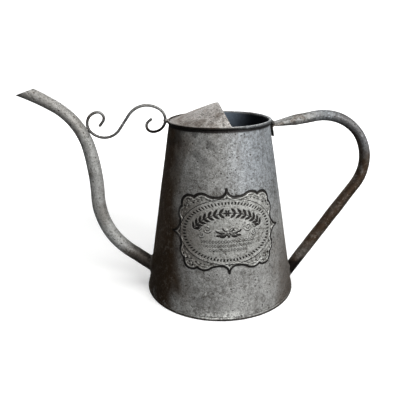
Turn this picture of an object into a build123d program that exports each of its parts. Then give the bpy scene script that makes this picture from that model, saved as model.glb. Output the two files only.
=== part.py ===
from build123d import *

import os
from math import atan, atan2, cos, hypot, radians, sin

# Galvanised sheet-metal watering can with a gooseneck spout, splash hood, tube handle and scroll brace.
# Frame: origin at the centre of the base on the can's axis, +Z up, the spout on -X, the handle on +X and
# the plaque facing -Y.  All sizes are millimetres.

# ---- Body ----
BODY_SHEET = 0.7
BASE_RADIUS = 83.1
RIM_HEIGHT = 189.5
RIM_RADIUS = 52.2
WIRE_RADIUS = 0.9
CURL_RADIUS = WIRE_RADIUS + BODY_SHEET
SEAM_WIDTH = 5.0
SEAM_PROUD = 0.7
SEAM_LOW = 5.2
SEAM_HIGH = RIM_HEIGHT - 4.0
# Crevice under the curl, where its edge comes back to the wall: points from the curl's centre
CURL_GAP = [(0.0, 0.0), (-4.0, -1.0), (-3.0, -3.0), (-2.0, -4.0)]

# ---- Base ----
BASE_SHEET = 0.6
BASE_RECESS = 5.0
HEM_HEIGHT = 3.2
SEAL_WIDTH = 2.0

# ---- Splash hood ----
HOOD_SHEET = 0.7
HOOD_SEAT_RADIUS = 51.0
HOOD_SEAT_HEIGHT = 189.6
HOOD_SEAT_REACH = 95.0
HOOD_EDGE_FOOT = (8.0, 50.2, 189.8)
HOOD_PEAK = (-0.8, 0.0, 207.6)
HOOD_SOLDER_REACH = 92.0
# Its bead in section: heights on the wall, then points (radius, height) on the hood
HOOD_BEAD_WALL = (187.4, 189.4)
HOOD_BEAD_INNER = [(51.1, 189.8), (50.1, 188.8)]

# ---- Spout: a straight root, then bends of (radius, turn in degrees), then a short straight tip ----
# Ovals are (distance along the stretch as a share of its length, height in the bend's plane, width across it)
SPOUT_ROOT = (-84.7, 30.2)
SPOUT_ROOT_HEADING = 142.0
SPOUT_ROOT_LENGTH = 21.5
SPOUT_INSIDE = 14.0
SPOUT_BENDS = [(81.0, -54.0), (220.0, 14.0), (69.0, 45.0), (210.0, 10.0)]
SPOUT_TIP_LENGTH = 9.0
SPOUT_WALL = 0.8
SPOUT_OVALS = [
    (0.0, 15.4, 15.4),
    (0.30, 15.0, 15.0),
    (0.55, 14.8, 15.0),
    (0.80, 12.0, 15.8),
    (1.0, 13.6, 14.2),
]
SPOUT_SOLDER_BAND = (5.0, 50.0)
TIP_CUT_LOW = (-204.6, 219.2)
TIP_CUT_HIGH = (-187.0, 225.1)

# ---- Handle: flattened end at the rim, one large bend, then a straight run down to the wall ----
HANDLE_START = (57.0, 183.6)
HANDLE_START_HEADING = 9.5
HANDLE_TOP_LENGTH = 44.4
HANDLE_BEND_RADIUS = 50.0
HANDLE_BEND_TURN = -133.5
HANDLE_RUN_LENGTH = 130.0
HANDLE_WALL = 1.0
HANDLE_TOP_OVALS = [(0.0, 4.4, 18.6), (0.22, 7.2, 17.2), (0.52, 11.0, 14.6), (1.0, 11.2, 13.8)]
HANDLE_BEND_OVALS = [(0.0, 11.2, 13.8), (0.25, 10.4, 14.4), (0.60, 12.4, 13.0), (1.0, 12.6, 12.6)]
TAB_WIDTH = 17.0
TAB_THICKNESS = 2.0
TAB_LENGTH = 9.5
TAB_BEND_RADIUS = 2.2
TAB_LEAD = 0.2
FOOT_WIDTH = 11.0
FOOT_THICKNESS = 2.0
FOOT_LOW = 3.6
FOOT_HIGH = 12.0
FOOT_SOLDER_BAND = (3.3, 30.0)
# Solder wedge between rim, handle and wall, in section (x, z)
TOP_WEDGE = [
    (53.2, 187.6),
    (54.5, 188.2),
    (58.0, 186.4),
    (57.0, 184.2),
    (55.0, 181.5),
    (55.6, 176.0),
    (54.4, 176.0),
]
TOP_WEDGE_WIDTH = 15.0

# ---- Scroll brace: straight legs (a length) and bends (radius, turn), hooked at both ends ----
SCROLL_WIRE_RADIUS = 1.5
SCROLL_START = (-124.76, 185.5)
SCROLL_START_HEADING = 50.0
SCROLL_SPOUT_LEGS = [6.5, (6.0, 136.0), (12.2, 128.0), (19.0, 100.0)]
SCROLL_MIDDLE = 18.5
SCROLL_RIM_LEGS = [(23.0, -90.0), (12.7, -153.0), (6.0, -135.0), 4.7]

# ---- Plaque: a four-pointed shield laid on the cone ----
PLAQUE_GAP = 0.3
PLAQUE_SHEET = 0.7
PLAQUE_TURN = 2.0
PLAQUE_TILT = 1.0
PLAQUE_HEIGHT = 91.5
PLAQUE_BAND = (30.0, 150.0)
# One quarter of its outline, flat, from the top tip to the side tip: arcs as (middle, end)
PLAQUE_TOP_TIP = (0.0, 42.2)
PLAQUE_ARCS = [
    ((3.4, 35.8), (10.0, 34.3)),
    ((14.5, 34.7), (18.5, 36.1)),
    ((27.0, 38.2), (32.5, 35.2)),
    ((44.5, 34.5), (46.7, 26.4)),
    ((51.0, 20.5), (49.6, 13.5)),
    ((51.8, 5.4), (61.0, 0.0)),
]
PLAQUE_DABS = [(-30.0, 22.0), (30.0, 22.0), (-30.0, -22.0), (30.0, -22.0)]

# ---- Solder ----
FILLET = 1.8
DAB_RADIUS = 4.0
SCROLL_SPOUT_JOINT = (-138.0, 0, 182.2)
SCROLL_RIM_JOINT = (-55.3, 0, 189.9)
JOINT_RADIUS = 2.6
# Tools that cut reach this far past what they cut
MARGIN = 20.0

WALL_SLOPE = (BASE_RADIUS - RIM_RADIUS) / RIM_HEIGHT
BEAD_RADIUS = RIM_RADIUS + WIRE_RADIUS * hypot(1, WALL_SLOPE)

os.makedirs("parts", exist_ok=True)


def wall_radius(height):
    """Radius of the wall's outer face at a height."""
    return BASE_RADIUS - WALL_SLOPE * height


def inner_radius(height):
    return wall_radius(height) - BODY_SHEET


def radial_plane(angle):
    """Upright plane through the axis whose local x points outward at an angle from +X."""
    outward = (cos(radians(angle)), sin(radians(angle)), 0)
    return Plane(origin=(0, 0, 0), x_dir=outward, z_dir=(outward[1], -outward[0], 0))


def cone_band(inner, outer, low, high):
    """Band that follows the wall between two distances from its outer face."""
    with BuildPart() as band:
        with BuildSketch(Plane.XZ):
            Polygon(
                (wall_radius(low) + inner, low),
                (wall_radius(low) + outer, low),
                (wall_radius(high) + outer, high),
                (wall_radius(high) + inner, high),
                align=None,
            )
        revolve()
    return band.part


def cone_inside(offset):
    """Solid cone whose side lies a distance outside the wall's outer face."""
    low, high = -MARGIN, RIM_HEIGHT + MARGIN
    with BuildPart() as cone:
        with BuildSketch(Plane.XZ):
            Polygon(
                (0, low),
                (wall_radius(low) + offset, low),
                (wall_radius(high) + offset, high),
                (0, high),
                align=None,
            )
        revolve()
    return cone.part


def bent_line(start, heading, legs):
    """Line on the XZ plane: straight legs (a length) and tangent bends (radius, turn), first a straight one."""
    with BuildLine(Plane.XZ) as line:
        piece = PolarLine(start, legs[0], heading)
        for leg in legs[1:]:
            if isinstance(leg, tuple):
                piece = JernArc(piece @ 1, piece % 1, *leg)
            else:
                piece = Line(piece @ 1, piece @ 1 + (piece % 1) * leg)
    return line.wire()


def oval_tube(path, ovals, shrink):
    """Tube of oval sections along a path; each oval is smaller all round by shrink."""
    with BuildPart() as tube:
        with BuildLine():
            add(path)
        for share, tall, wide in ovals:
            across = Plane(origin=path @ share, x_dir=(0, 1, 0), z_dir=path % share)
            with BuildSketch(across):
                Ellipse(wide / 2 - shrink, tall / 2 - shrink)
        sweep(multisection=True)
    return tube.part


# ---- Body wall: cone sheet with its top edge curled round the rim wire and a folded seam at the back ----
wall_outside = cone_inside(0)
with BuildPart() as seam_fold:
    add(cone_band(0, SEAM_PROUD, SEAM_LOW, SEAM_HIGH))
    with Locations((0, BASE_RADIUS, RIM_HEIGHT / 2)):
        Box(SEAM_WIDTH, BASE_RADIUS, 2 * RIM_HEIGHT, mode=Mode.INTERSECT)

spout_path = bent_line(
    (
        SPOUT_ROOT[0] - SPOUT_INSIDE * cos(radians(SPOUT_ROOT_HEADING)),
        SPOUT_ROOT[1] - SPOUT_INSIDE * sin(radians(SPOUT_ROOT_HEADING)),
    ),
    SPOUT_ROOT_HEADING,
    [SPOUT_ROOT_LENGTH + SPOUT_INSIDE, *SPOUT_BENDS, SPOUT_TIP_LENGTH],
)
spout_outside = oval_tube(spout_path, SPOUT_OVALS, 0)
spout_bore = oval_tube(spout_path, SPOUT_OVALS, SPOUT_WALL)

with BuildPart() as body_wall:
    with BuildSketch(Plane.XZ):
        with Locations((BEAD_RADIUS, RIM_HEIGHT)):
            Circle(CURL_RADIUS)
            Circle(WIRE_RADIUS, mode=Mode.SUBTRACT)
            Polygon(*CURL_GAP, align=None, mode=Mode.SUBTRACT)
        Polygon(
            (inner_radius(BASE_SHEET), BASE_SHEET),
            (wall_radius(BASE_SHEET), BASE_SHEET),
            (RIM_RADIUS, RIM_HEIGHT),
            (RIM_RADIUS - BODY_SHEET, RIM_HEIGHT),
            align=None,
        )
    revolve()
    add(seam_fold.part)
    add(spout_bore, mode=Mode.SUBTRACT)
body_wall.part.label = "body_wall"
export_step(body_wall.part, "parts/body_wall.step")

# ---- Rim wire, closed inside the curl ----
with BuildPart() as rim_wire:
    with BuildSketch(Plane.XZ):
        with Locations((BEAD_RADIUS, RIM_HEIGHT)):
            Circle(WIRE_RADIUS)
    revolve()
rim_wire.part.label = "rim_wire"
export_step(rim_wire.part, "parts/rim_wire.step")

# ---- Base pan: recessed disc whose flange goes down, under the wall's edge and up outside it ----
with BuildPart() as base_pan:
    with BuildSketch(Plane.XZ):
        Polygon(
            (0, BASE_RECESS),
            (inner_radius(BASE_RECESS) - BASE_SHEET, BASE_RECESS),
            (inner_radius(0) - BASE_SHEET, 0),
            (wall_radius(0) + BASE_SHEET, 0),
            (wall_radius(HEM_HEIGHT) + BASE_SHEET, HEM_HEIGHT),
            (wall_radius(HEM_HEIGHT), HEM_HEIGHT),
            (wall_radius(BASE_SHEET), BASE_SHEET),
            (inner_radius(BASE_SHEET), BASE_SHEET),
            (inner_radius(BASE_RECESS + BASE_SHEET), BASE_RECESS + BASE_SHEET),
            (0, BASE_RECESS + BASE_SHEET),
            align=None,
        )
    revolve()
base_pan.part.label = "base_pan"
export_step(base_pan.part, "parts/base_pan.step")

# ---- Base seal: ring of solder inside, in the corner of pan and wall ----
with BuildPart() as base_seal:
    pan_top = BASE_RECESS + BASE_SHEET
    with BuildSketch(Plane.XZ):
        Polygon(
            (inner_radius(pan_top), pan_top),
            (inner_radius(pan_top + SEAL_WIDTH), pan_top + SEAL_WIDTH),
            (inner_radius(pan_top) - SEAL_WIDTH, pan_top),
            align=None,
        )
    revolve()
base_seal.part.label = "base_seal"
export_step(base_seal.part, "parts/base_seal.step")

# ---- Splash hood: one sheet from the rim's spout side up to an arched free edge over the mouth ----
seat_end = (
    -HOOD_SEAT_RADIUS * cos(radians(HOOD_SEAT_REACH)),
    HOOD_SEAT_RADIUS * sin(radians(HOOD_SEAT_REACH)),
    HOOD_SEAT_HEIGHT,
)
with BuildLine() as hood_seat:
    seat_middle = (-HOOD_SEAT_RADIUS, 0, HOOD_SEAT_HEIGHT)
    ThreePointArc((seat_end[0], -seat_end[1], seat_end[2]), seat_middle, seat_end)
with BuildLine() as hood_edge:
    foot = HOOD_EDGE_FOOT
    ThreePointArc((foot[0], -foot[1], foot[2]), HOOD_PEAK, foot)
with BuildPart() as splash_hood:
    thicken(Face.make_surface_from_curves(hood_seat.edge(), hood_edge.edge()), amount=HOOD_SHEET)
splash_hood.part.label = "splash_hood"
export_step(splash_hood.part, "parts/splash_hood.step")

# ---- Hood solder: bead in the corner of hood and wall ----
with BuildPart() as hood_solder:
    with BuildSketch(radial_plane(180 - HOOD_SOLDER_REACH)):
        Polygon(*[(inner_radius(z), z) for z in HOOD_BEAD_WALL], *HOOD_BEAD_INNER, align=None)
    revolve(revolution_arc=2 * HOOD_SOLDER_REACH)
    add(splash_hood.part, mode=Mode.SUBTRACT)
    add(body_wall.part, mode=Mode.SUBTRACT)
hood_solder.part.label = "hood_solder"
export_step(hood_solder.part, "parts/hood_solder.step")

# ---- Spout tube: butted on the wall round its hole, cut on a slant at the tip ----
with BuildPart() as spout_tube:
    add(spout_outside)
    add(spout_bore, mode=Mode.SUBTRACT)
    add(wall_outside, mode=Mode.SUBTRACT)
    cut_run = (TIP_CUT_HIGH[0] - TIP_CUT_LOW[0], 0, TIP_CUT_HIGH[1] - TIP_CUT_LOW[1])
    cut_start = (TIP_CUT_LOW[0], 0, TIP_CUT_LOW[1])
    tip_cut = Plane(origin=cut_start, x_dir=cut_run, z_dir=(-cut_run[2], 0, cut_run[0]))
    split(bisect_by=tip_cut, keep=Keep.BOTTOM)
spout_tube.part.label = "spout_tube"
export_step(spout_tube.part, "parts/spout_tube.step")

# ---- Spout solder: collar of solder on the wall round the spout's root ----
root_grow = oval_tube(spout_path, SPOUT_OVALS, -FILLET)
with BuildPart() as spout_solder:
    add(cone_band(0, FILLET, *SPOUT_SOLDER_BAND))
    add(root_grow, mode=Mode.INTERSECT)
    add(spout_outside, mode=Mode.SUBTRACT)
spout_solder.part.label = "spout_solder"
export_step(spout_solder.part, "parts/spout_solder.step")

# ---- Handle tube: flattened and folded down behind the rim, its lower end cut to the wall with a foot ----
with BuildLine(Plane.XZ) as handle_line:
    handle_top = PolarLine(HANDLE_START, HANDLE_TOP_LENGTH, HANDLE_START_HEADING, mode=Mode.PRIVATE)
    bend = JernArc(handle_top @ 1, handle_top % 1, HANDLE_BEND_RADIUS, HANDLE_BEND_TURN)
    Line(bend @ 1, bend @ 1 + (bend % 1) * HANDLE_RUN_LENGTH)
handle_run = handle_line.wire()


def handle_stock(shrink):
    """Handle tube, solid: lofted where it flattens at the rim, swept round the bend and down."""
    with BuildPart() as stock:
        for share, tall, wide in HANDLE_TOP_OVALS:
            across = Plane(origin=handle_top @ share, x_dir=(0, 1, 0), z_dir=handle_top % share)
            with BuildSketch(across):
                Ellipse(wide / 2 - shrink, tall / 2 - shrink)
        loft()
        add(oval_tube(handle_run, HANDLE_BEND_OVALS, shrink))
    return stock.part


handle_outside = handle_stock(0)
handle_bore = handle_stock(HANDLE_WALL)

tab_legs = [TAB_LEAD, (TAB_BEND_RADIUS, 90.0), TAB_LENGTH]
tab_line = bent_line(HANDLE_START, HANDLE_START_HEADING + 180, tab_legs)
with BuildPart() as tab:
    with BuildLine():
        add(tab_line)
    with BuildSketch(Plane(origin=tab_line @ 0, x_dir=(0, 1, 0), z_dir=tab_line % 0)):
        Rectangle(TAB_WIDTH, TAB_THICKNESS)
    sweep()

with BuildPart() as foot:
    add(cone_band(0, FOOT_THICKNESS, FOOT_LOW, FOOT_HIGH))
    with Locations((BASE_RADIUS, 0, FOOT_HIGH / 2)):
        Box(BASE_RADIUS, FOOT_WIDTH, FOOT_HIGH, mode=Mode.INTERSECT)

with BuildPart() as handle_tube:
    add(handle_outside)
    add(foot.part)
    add(handle_bore, mode=Mode.SUBTRACT)
    add(tab.part)
    add(wall_outside, mode=Mode.SUBTRACT)
    add(base_pan.part, mode=Mode.SUBTRACT)
handle_tube.part.label = "handle_tube"
export_step(handle_tube.part, "parts/handle_tube.step")

# ---- Handle solder: a wedge under the rim at the top, a collar round the lower end ----
with BuildPart() as handle_top_solder:
    with BuildSketch(Plane.XZ):
        Polygon(*TOP_WEDGE, align=None)
    extrude(amount=TOP_WEDGE_WIDTH / 2, both=True)
    add(wall_outside, mode=Mode.SUBTRACT)
    add(body_wall.part, mode=Mode.SUBTRACT)
    add(handle_outside, mode=Mode.SUBTRACT)
    add(tab.part, mode=Mode.SUBTRACT)
handle_top_solder.part.label = "handle_top_solder"
export_step(handle_top_solder.part, "parts/handle_top_solder.step")

handle_grow = handle_stock(-FILLET)
with BuildPart() as handle_foot_solder:
    add(cone_band(0, FILLET, *FOOT_SOLDER_BAND))
    add(handle_grow, mode=Mode.INTERSECT)
    add(handle_outside, mode=Mode.SUBTRACT)
    add(handle_tube.part, mode=Mode.SUBTRACT)
handle_foot_solder.part.label = "handle_foot_solder"
export_step(handle_foot_solder.part, "parts/handle_foot_solder.step")

# ---- Scroll brace: one bent wire from the spout to the rim ----
scroll_path = bent_line(
    SCROLL_START,
    SCROLL_START_HEADING,
    [*SCROLL_SPOUT_LEGS, SCROLL_MIDDLE, *SCROLL_RIM_LEGS],
)
with BuildPart() as scroll_brace:
    with BuildLine():
        add(scroll_path)
    with BuildSketch(Plane(origin=scroll_path @ 0, z_dir=scroll_path % 0)):
        Circle(SCROLL_WIRE_RADIUS)
    sweep()
scroll_brace.part.label = "scroll_brace"
export_step(scroll_brace.part, "parts/scroll_brace.step")

for name, joint, neighbour in (
    ("scroll_spout_solder", SCROLL_SPOUT_JOINT, spout_outside),
    ("scroll_rim_solder", SCROLL_RIM_JOINT, body_wall.part),
):
    with BuildPart() as scroll_solder:
        with Locations(joint):
            Sphere(JOINT_RADIUS)
        add(scroll_brace.part, mode=Mode.SUBTRACT)
        add(neighbour, mode=Mode.SUBTRACT)
        add(rim_wire.part, mode=Mode.SUBTRACT)
    scroll_solder.part.label = name
    export_step(scroll_solder.part, f"parts/{name}.step")


# ---- Plaque: flat shield rolled onto the cone, seen square to its middle ----
def on_cone(across, up):
    """Front-view place (sideways, height) of a point of the flat plaque once it is rolled on the wall."""
    tilt = radians(PLAQUE_TILT)
    across, up = across * cos(tilt) - up * sin(tilt), across * sin(tilt) + up * cos(tilt)
    half_angle = atan(WALL_SLOPE)
    reach = (wall_radius(PLAQUE_HEIGHT) + PLAQUE_GAP) / sin(half_angle)
    slant = hypot(across, reach - up)
    around = atan2(across, reach - up) / sin(half_angle)
    height = PLAQUE_HEIGHT + (reach - slant) * cos(half_angle)
    return (slant * sin(half_angle) * sin(around), height)


front = Plane(
    origin=(0, 0, 0),
    x_dir=(cos(radians(PLAQUE_TURN)), sin(radians(PLAQUE_TURN)), 0),
    z_dir=(sin(radians(PLAQUE_TURN)), -cos(radians(PLAQUE_TURN)), 0),
)
with BuildPart() as plaque_block:
    with BuildSketch(front):
        with BuildLine():
            for flip_across, flip_up in ((1, 1), (1, -1), (-1, -1), (-1, 1)):
                corner = PLAQUE_TOP_TIP
                for middle, end in PLAQUE_ARCS:
                    ThreePointArc(
                        *[on_cone(flip_across * p[0], flip_up * p[1]) for p in (corner, middle, end)]
                    )
                    corner = end
        make_face()
    extrude(amount=BASE_RADIUS + MARGIN)
with BuildPart() as plaque:
    add(cone_band(PLAQUE_GAP, PLAQUE_GAP + PLAQUE_SHEET, *PLAQUE_BAND))
    add(plaque_block.part, mode=Mode.INTERSECT)
plaque.part.label = "plaque"
export_step(plaque.part, "parts/plaque.step")

# ---- Plaque solder: four thin dabs between plaque and wall ----
with BuildPart() as dab_pins:
    with BuildSketch(front):
        with Locations(*[on_cone(*dab) for dab in PLAQUE_DABS]):
            Circle(DAB_RADIUS)
    extrude(amount=BASE_RADIUS + MARGIN)
with BuildPart() as plaque_solder:
    add(cone_band(0, PLAQUE_GAP, *PLAQUE_BAND))
    add(dab_pins.part, mode=Mode.INTERSECT)
plaque_solder.part.label = "plaque_solder"
export_step(plaque_solder.part, "parts/plaque_solder.step")
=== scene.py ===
from math import atan, cos, degrees, hypot, pi, radians, sin

import bmesh
import bpy
import numpy as np
from mathutils import Matrix, Vector, kdtree, noise


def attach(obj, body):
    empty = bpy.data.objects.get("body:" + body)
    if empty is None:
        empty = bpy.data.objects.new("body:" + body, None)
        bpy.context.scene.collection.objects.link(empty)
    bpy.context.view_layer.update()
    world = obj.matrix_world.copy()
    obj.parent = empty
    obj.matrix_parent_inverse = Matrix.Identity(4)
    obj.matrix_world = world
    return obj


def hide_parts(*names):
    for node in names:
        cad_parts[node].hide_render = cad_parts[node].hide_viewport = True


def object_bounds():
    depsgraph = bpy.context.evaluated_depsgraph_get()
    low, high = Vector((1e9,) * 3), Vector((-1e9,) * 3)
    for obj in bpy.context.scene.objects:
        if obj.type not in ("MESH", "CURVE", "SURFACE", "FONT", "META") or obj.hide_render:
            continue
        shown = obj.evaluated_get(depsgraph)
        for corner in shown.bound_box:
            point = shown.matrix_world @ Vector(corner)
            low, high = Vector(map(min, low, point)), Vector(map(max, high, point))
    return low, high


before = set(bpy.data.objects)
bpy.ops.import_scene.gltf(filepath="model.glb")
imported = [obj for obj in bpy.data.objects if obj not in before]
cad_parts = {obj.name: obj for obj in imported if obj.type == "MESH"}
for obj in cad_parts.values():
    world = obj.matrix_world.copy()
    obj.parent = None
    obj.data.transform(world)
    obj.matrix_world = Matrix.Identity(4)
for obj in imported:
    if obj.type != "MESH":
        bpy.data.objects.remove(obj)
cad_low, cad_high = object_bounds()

# Galvanised sheet-metal watering can.  Frame: origin at the centre of the base, +Z up, the spout on -X,
# the handle on +X, the plaque facing -Y.  Sizes below are millimetres and repeat the CAD model's.
MM = 0.001

BODY_SHEET = 0.7
BASE_RADIUS = 83.1
RIM_HEIGHT = 189.5
RIM_RADIUS = 52.2
WIRE_RADIUS = 0.9
CURL_RADIUS = WIRE_RADIUS + BODY_SHEET
SEAM_WIDTH = 5.0
SEAM_PROUD = 0.7
BASE_SHEET = 0.6
BASE_RECESS = 5.0
HEM_HEIGHT = 3.2

HOOD_SHEET = 0.7
HOOD_SEAT_RADIUS = 51.0
HOOD_SEAT_HEIGHT = 189.6
HOOD_SEAT_REACH = 95.0
HOOD_EDGE_FOOT = (8.0, 50.2, 189.8)
HOOD_PEAK = (-0.8, 0.0, 207.6)

SPOUT_ROOT = (-84.7, 30.2)
SPOUT_ROOT_HEADING = 142.0
SPOUT_ROOT_LENGTH = 21.5
SPOUT_INSIDE = 14.0
SPOUT_BENDS = [(81.0, -54.0), (220.0, 14.0), (69.0, 45.0), (210.0, 10.0)]
SPOUT_TIP_LENGTH = 9.0
SPOUT_WALL = 0.8
SPOUT_OVALS = [(0.0, 15.4, 15.4), (0.30, 15.0, 15.0), (0.55, 14.8, 15.0), (0.80, 12.0, 15.8), (1.0, 13.6, 14.2)]
TIP_CUT_LOW = (-204.6, 219.2)
TIP_CUT_HIGH = (-187.0, 225.1)

HANDLE_START = (57.0, 183.6)
HANDLE_START_HEADING = 9.5
HANDLE_TOP_LENGTH = 44.4
HANDLE_BEND = (50.0, -133.5)
HANDLE_RUN_LENGTH = 130.0
HANDLE_FOLD = (2.2, 90.0)
TAB_LENGTH = 9.5

SCROLL_WIRE_RADIUS = 1.5
SCROLL_START = (-124.76, 185.5)
SCROLL_START_HEADING = 50.0
SCROLL_LEGS = [
    6.5, (6.0, 136.0), (12.2, 128.0), (19.0, 100.0), 18.5, (23.0, -90.0), (12.7, -153.0), (6.0, -135.0), 4.7
]
SCROLL_SPOUT_JOINT = (-138.0, 0.0, 182.2)
SCROLL_RIM_JOINT = (-55.3, 0.0, 189.9)
HANDLE_TOP_JOINT = (56.2, 0.0, 185.4)
HOOD_SOLDER_RADIUS = 50.95
HOOD_SOLDER_HEIGHT = 189.2
HOOD_SOLDER_REACH = 92

PLAQUE_GAP = 0.3
PLAQUE_SHEET = 0.7
PLAQUE_TURN = radians(2.0)
PLAQUE_TILT = radians(1.0)
PLAQUE_HEIGHT = 91.5
PLAQUE_OVAL = (50.2, 33.0)
SLOT_OVAL = (45.4, 28.6)
SLOT_COUNT = 72
PLAQUE_TOP_TIP = (0.0, 42.2)
PLAQUE_ARCS = [
    ((3.4, 35.8), (10.0, 34.3)),
    ((14.5, 34.7), (18.5, 36.1)),
    ((27.0, 38.2), (32.5, 35.2)),
    ((44.5, 34.5), (46.7, 26.4)),
    ((51.0, 20.5), (49.6, 13.5)),
    ((51.8, 5.4), (61.0, 0.0)),
]

WALL_SLOPE = (BASE_RADIUS - RIM_RADIUS) / RIM_HEIGHT
WALL_ANGLE = atan(WALL_SLOPE)
BEAD_RADIUS = RIM_RADIUS + WIRE_RADIUS * hypot(1, WALL_SLOPE)

# Lengths along a tube within which it meets the wall or its cut.
SPOUT_ROOT_WITHIN = 70
SPOUT_TIP_WITHIN = 45
HANDLE_FOOT_WITHIN = 75


# ---- Small helpers ----
def wall_radius(height):
    """Radius of the wall's outer face at a height."""
    return BASE_RADIUS - WALL_SLOPE * height


def past_wall(points):
    """How far points lie outside the wall's outer face, measured level."""
    return np.hypot(points[..., 0], points[..., 1]) - wall_radius(points[..., 2])


def ease(value, low, high):
    """0 below low, 1 above high, smooth between; low may be above high."""
    share = np.clip((np.asarray(value, float) - low) / (high - low), 0, 1)
    return share * share * (3 - 2 * share)


def most(*layers):
    """The greatest of several layers at each point."""
    return np.maximum.reduce(layers)


def wander(points, size, seed=0.0):
    """Smooth noise of about -1..1 with features of a size in mm, at each point."""
    flat = np.asarray(points, float).reshape(-1, 3) / size + seed
    values = np.fromiter((noise.noise(p) for p in map(Vector, flat.tolist())), float, len(flat))
    return values.reshape(np.asarray(points).shape[:-1])


def grid_faces(rows, columns, wrap_rows=False, wrap_columns=True, first=0):
    """Quads of a grid of vertices, row by row."""
    row = np.arange(rows if wrap_rows else rows - 1)
    column = np.arange(columns if wrap_columns else columns - 1)
    row, column = np.meshgrid(row, column, indexing="ij")
    row_next, column_next = (row + 1) % rows, (column + 1) % columns
    quads = [
        row * columns + column,
        row * columns + column_next,
        row_next * columns + column_next,
        row_next * columns + column,
    ]
    return (np.stack(quads, -1).reshape(-1, 4) + first).tolist()


def turned(turns, radius, height):
    """Points at angles round the Z axis, with their radii and heights."""
    turns, radius, height = np.broadcast_arrays(turns, radius, height)
    return np.stack([radius * np.cos(turns), radius * np.sin(turns), height], -1)


def full_turn(count):
    """Angles of a whole turn, in equal steps."""
    return np.linspace(0, 2 * pi, count, endpoint=False)


def capped_grid(points):
    """Vertices and faces of a tube of rings with both ends closed by a fan."""
    rows, columns = points.shape[:2]
    flat = points.reshape(-1, 3)
    ends = np.stack([points[0].mean(0), points[-1].mean(0)])
    faces = grid_faces(rows, columns)
    near, far = rows * columns, rows * columns + 1
    last = (rows - 1) * columns
    for column in range(columns):
        after = (column + 1) % columns
        faces.append([near, after, column])
        faces.append([far, last + column, last + after])
    return np.concatenate([flat, ends]), faces


def make_piece(name, points, faces, sharp_angle=50.0):
    """A mesh object from points in mm, smooth except over sharp edges, its faces turned outward."""
    mesh = bpy.data.meshes.new(name)
    mesh.from_pydata((np.asarray(points, float).reshape(-1, 3) * MM).tolist(), [], faces)
    work = bmesh.new()
    work.from_mesh(mesh)
    bmesh.ops.remove_doubles(work, verts=work.verts, dist=1e-7)
    bmesh.ops.recalc_face_normals(work, faces=work.faces)
    limit = radians(sharp_angle)
    for face in work.faces:
        face.smooth = True
    for edge in work.edges:
        if len(edge.link_faces) == 2 and edge.calc_face_angle(0.0) > limit:
            edge.smooth = False
    work.to_mesh(mesh)
    work.free()
    piece = bpy.data.objects.new(name, mesh)
    bpy.context.scene.collection.objects.link(piece)
    return piece


def vertices_of(piece):
    """A piece's vertices in mm."""
    found = np.zeros(len(piece.data.vertices) * 3, np.float32)
    piece.data.vertices.foreach_get("co", found)
    return found.reshape(-1, 3).astype(float) / MM


def paint(piece, **layers):
    """Stores the layers that the materials read: each is a number, an array, or a function of the vertices in mm
    that takes their points, x, y and z."""
    points = vertices_of(piece)
    for layer, values in layers.items():
        if callable(values):
            values = values(points, *points.T)
        attribute = piece.data.attributes.new(layer, "FLOAT", "POINT")
        attribute.data.foreach_set("value", np.full(len(points), np.clip(values, 0, 1), np.float32))


def facing(piece, direction):
    """How far each vertex of a piece faces a direction: 1 straight along it, -1 straight away."""
    normals = np.empty(len(piece.data.vertices) * 3)
    piece.data.vertices.foreach_get("normal", normals)
    return normals.reshape(-1, 3) @ (np.array(direction) / np.linalg.norm(direction))


def place(piece, material, slot, *nodes):
    """Gives a finished piece its material, its body and the CAD nodes it stands for."""
    piece.data.materials.append(material)
    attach(piece, "root")
    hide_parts(*nodes)


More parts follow.
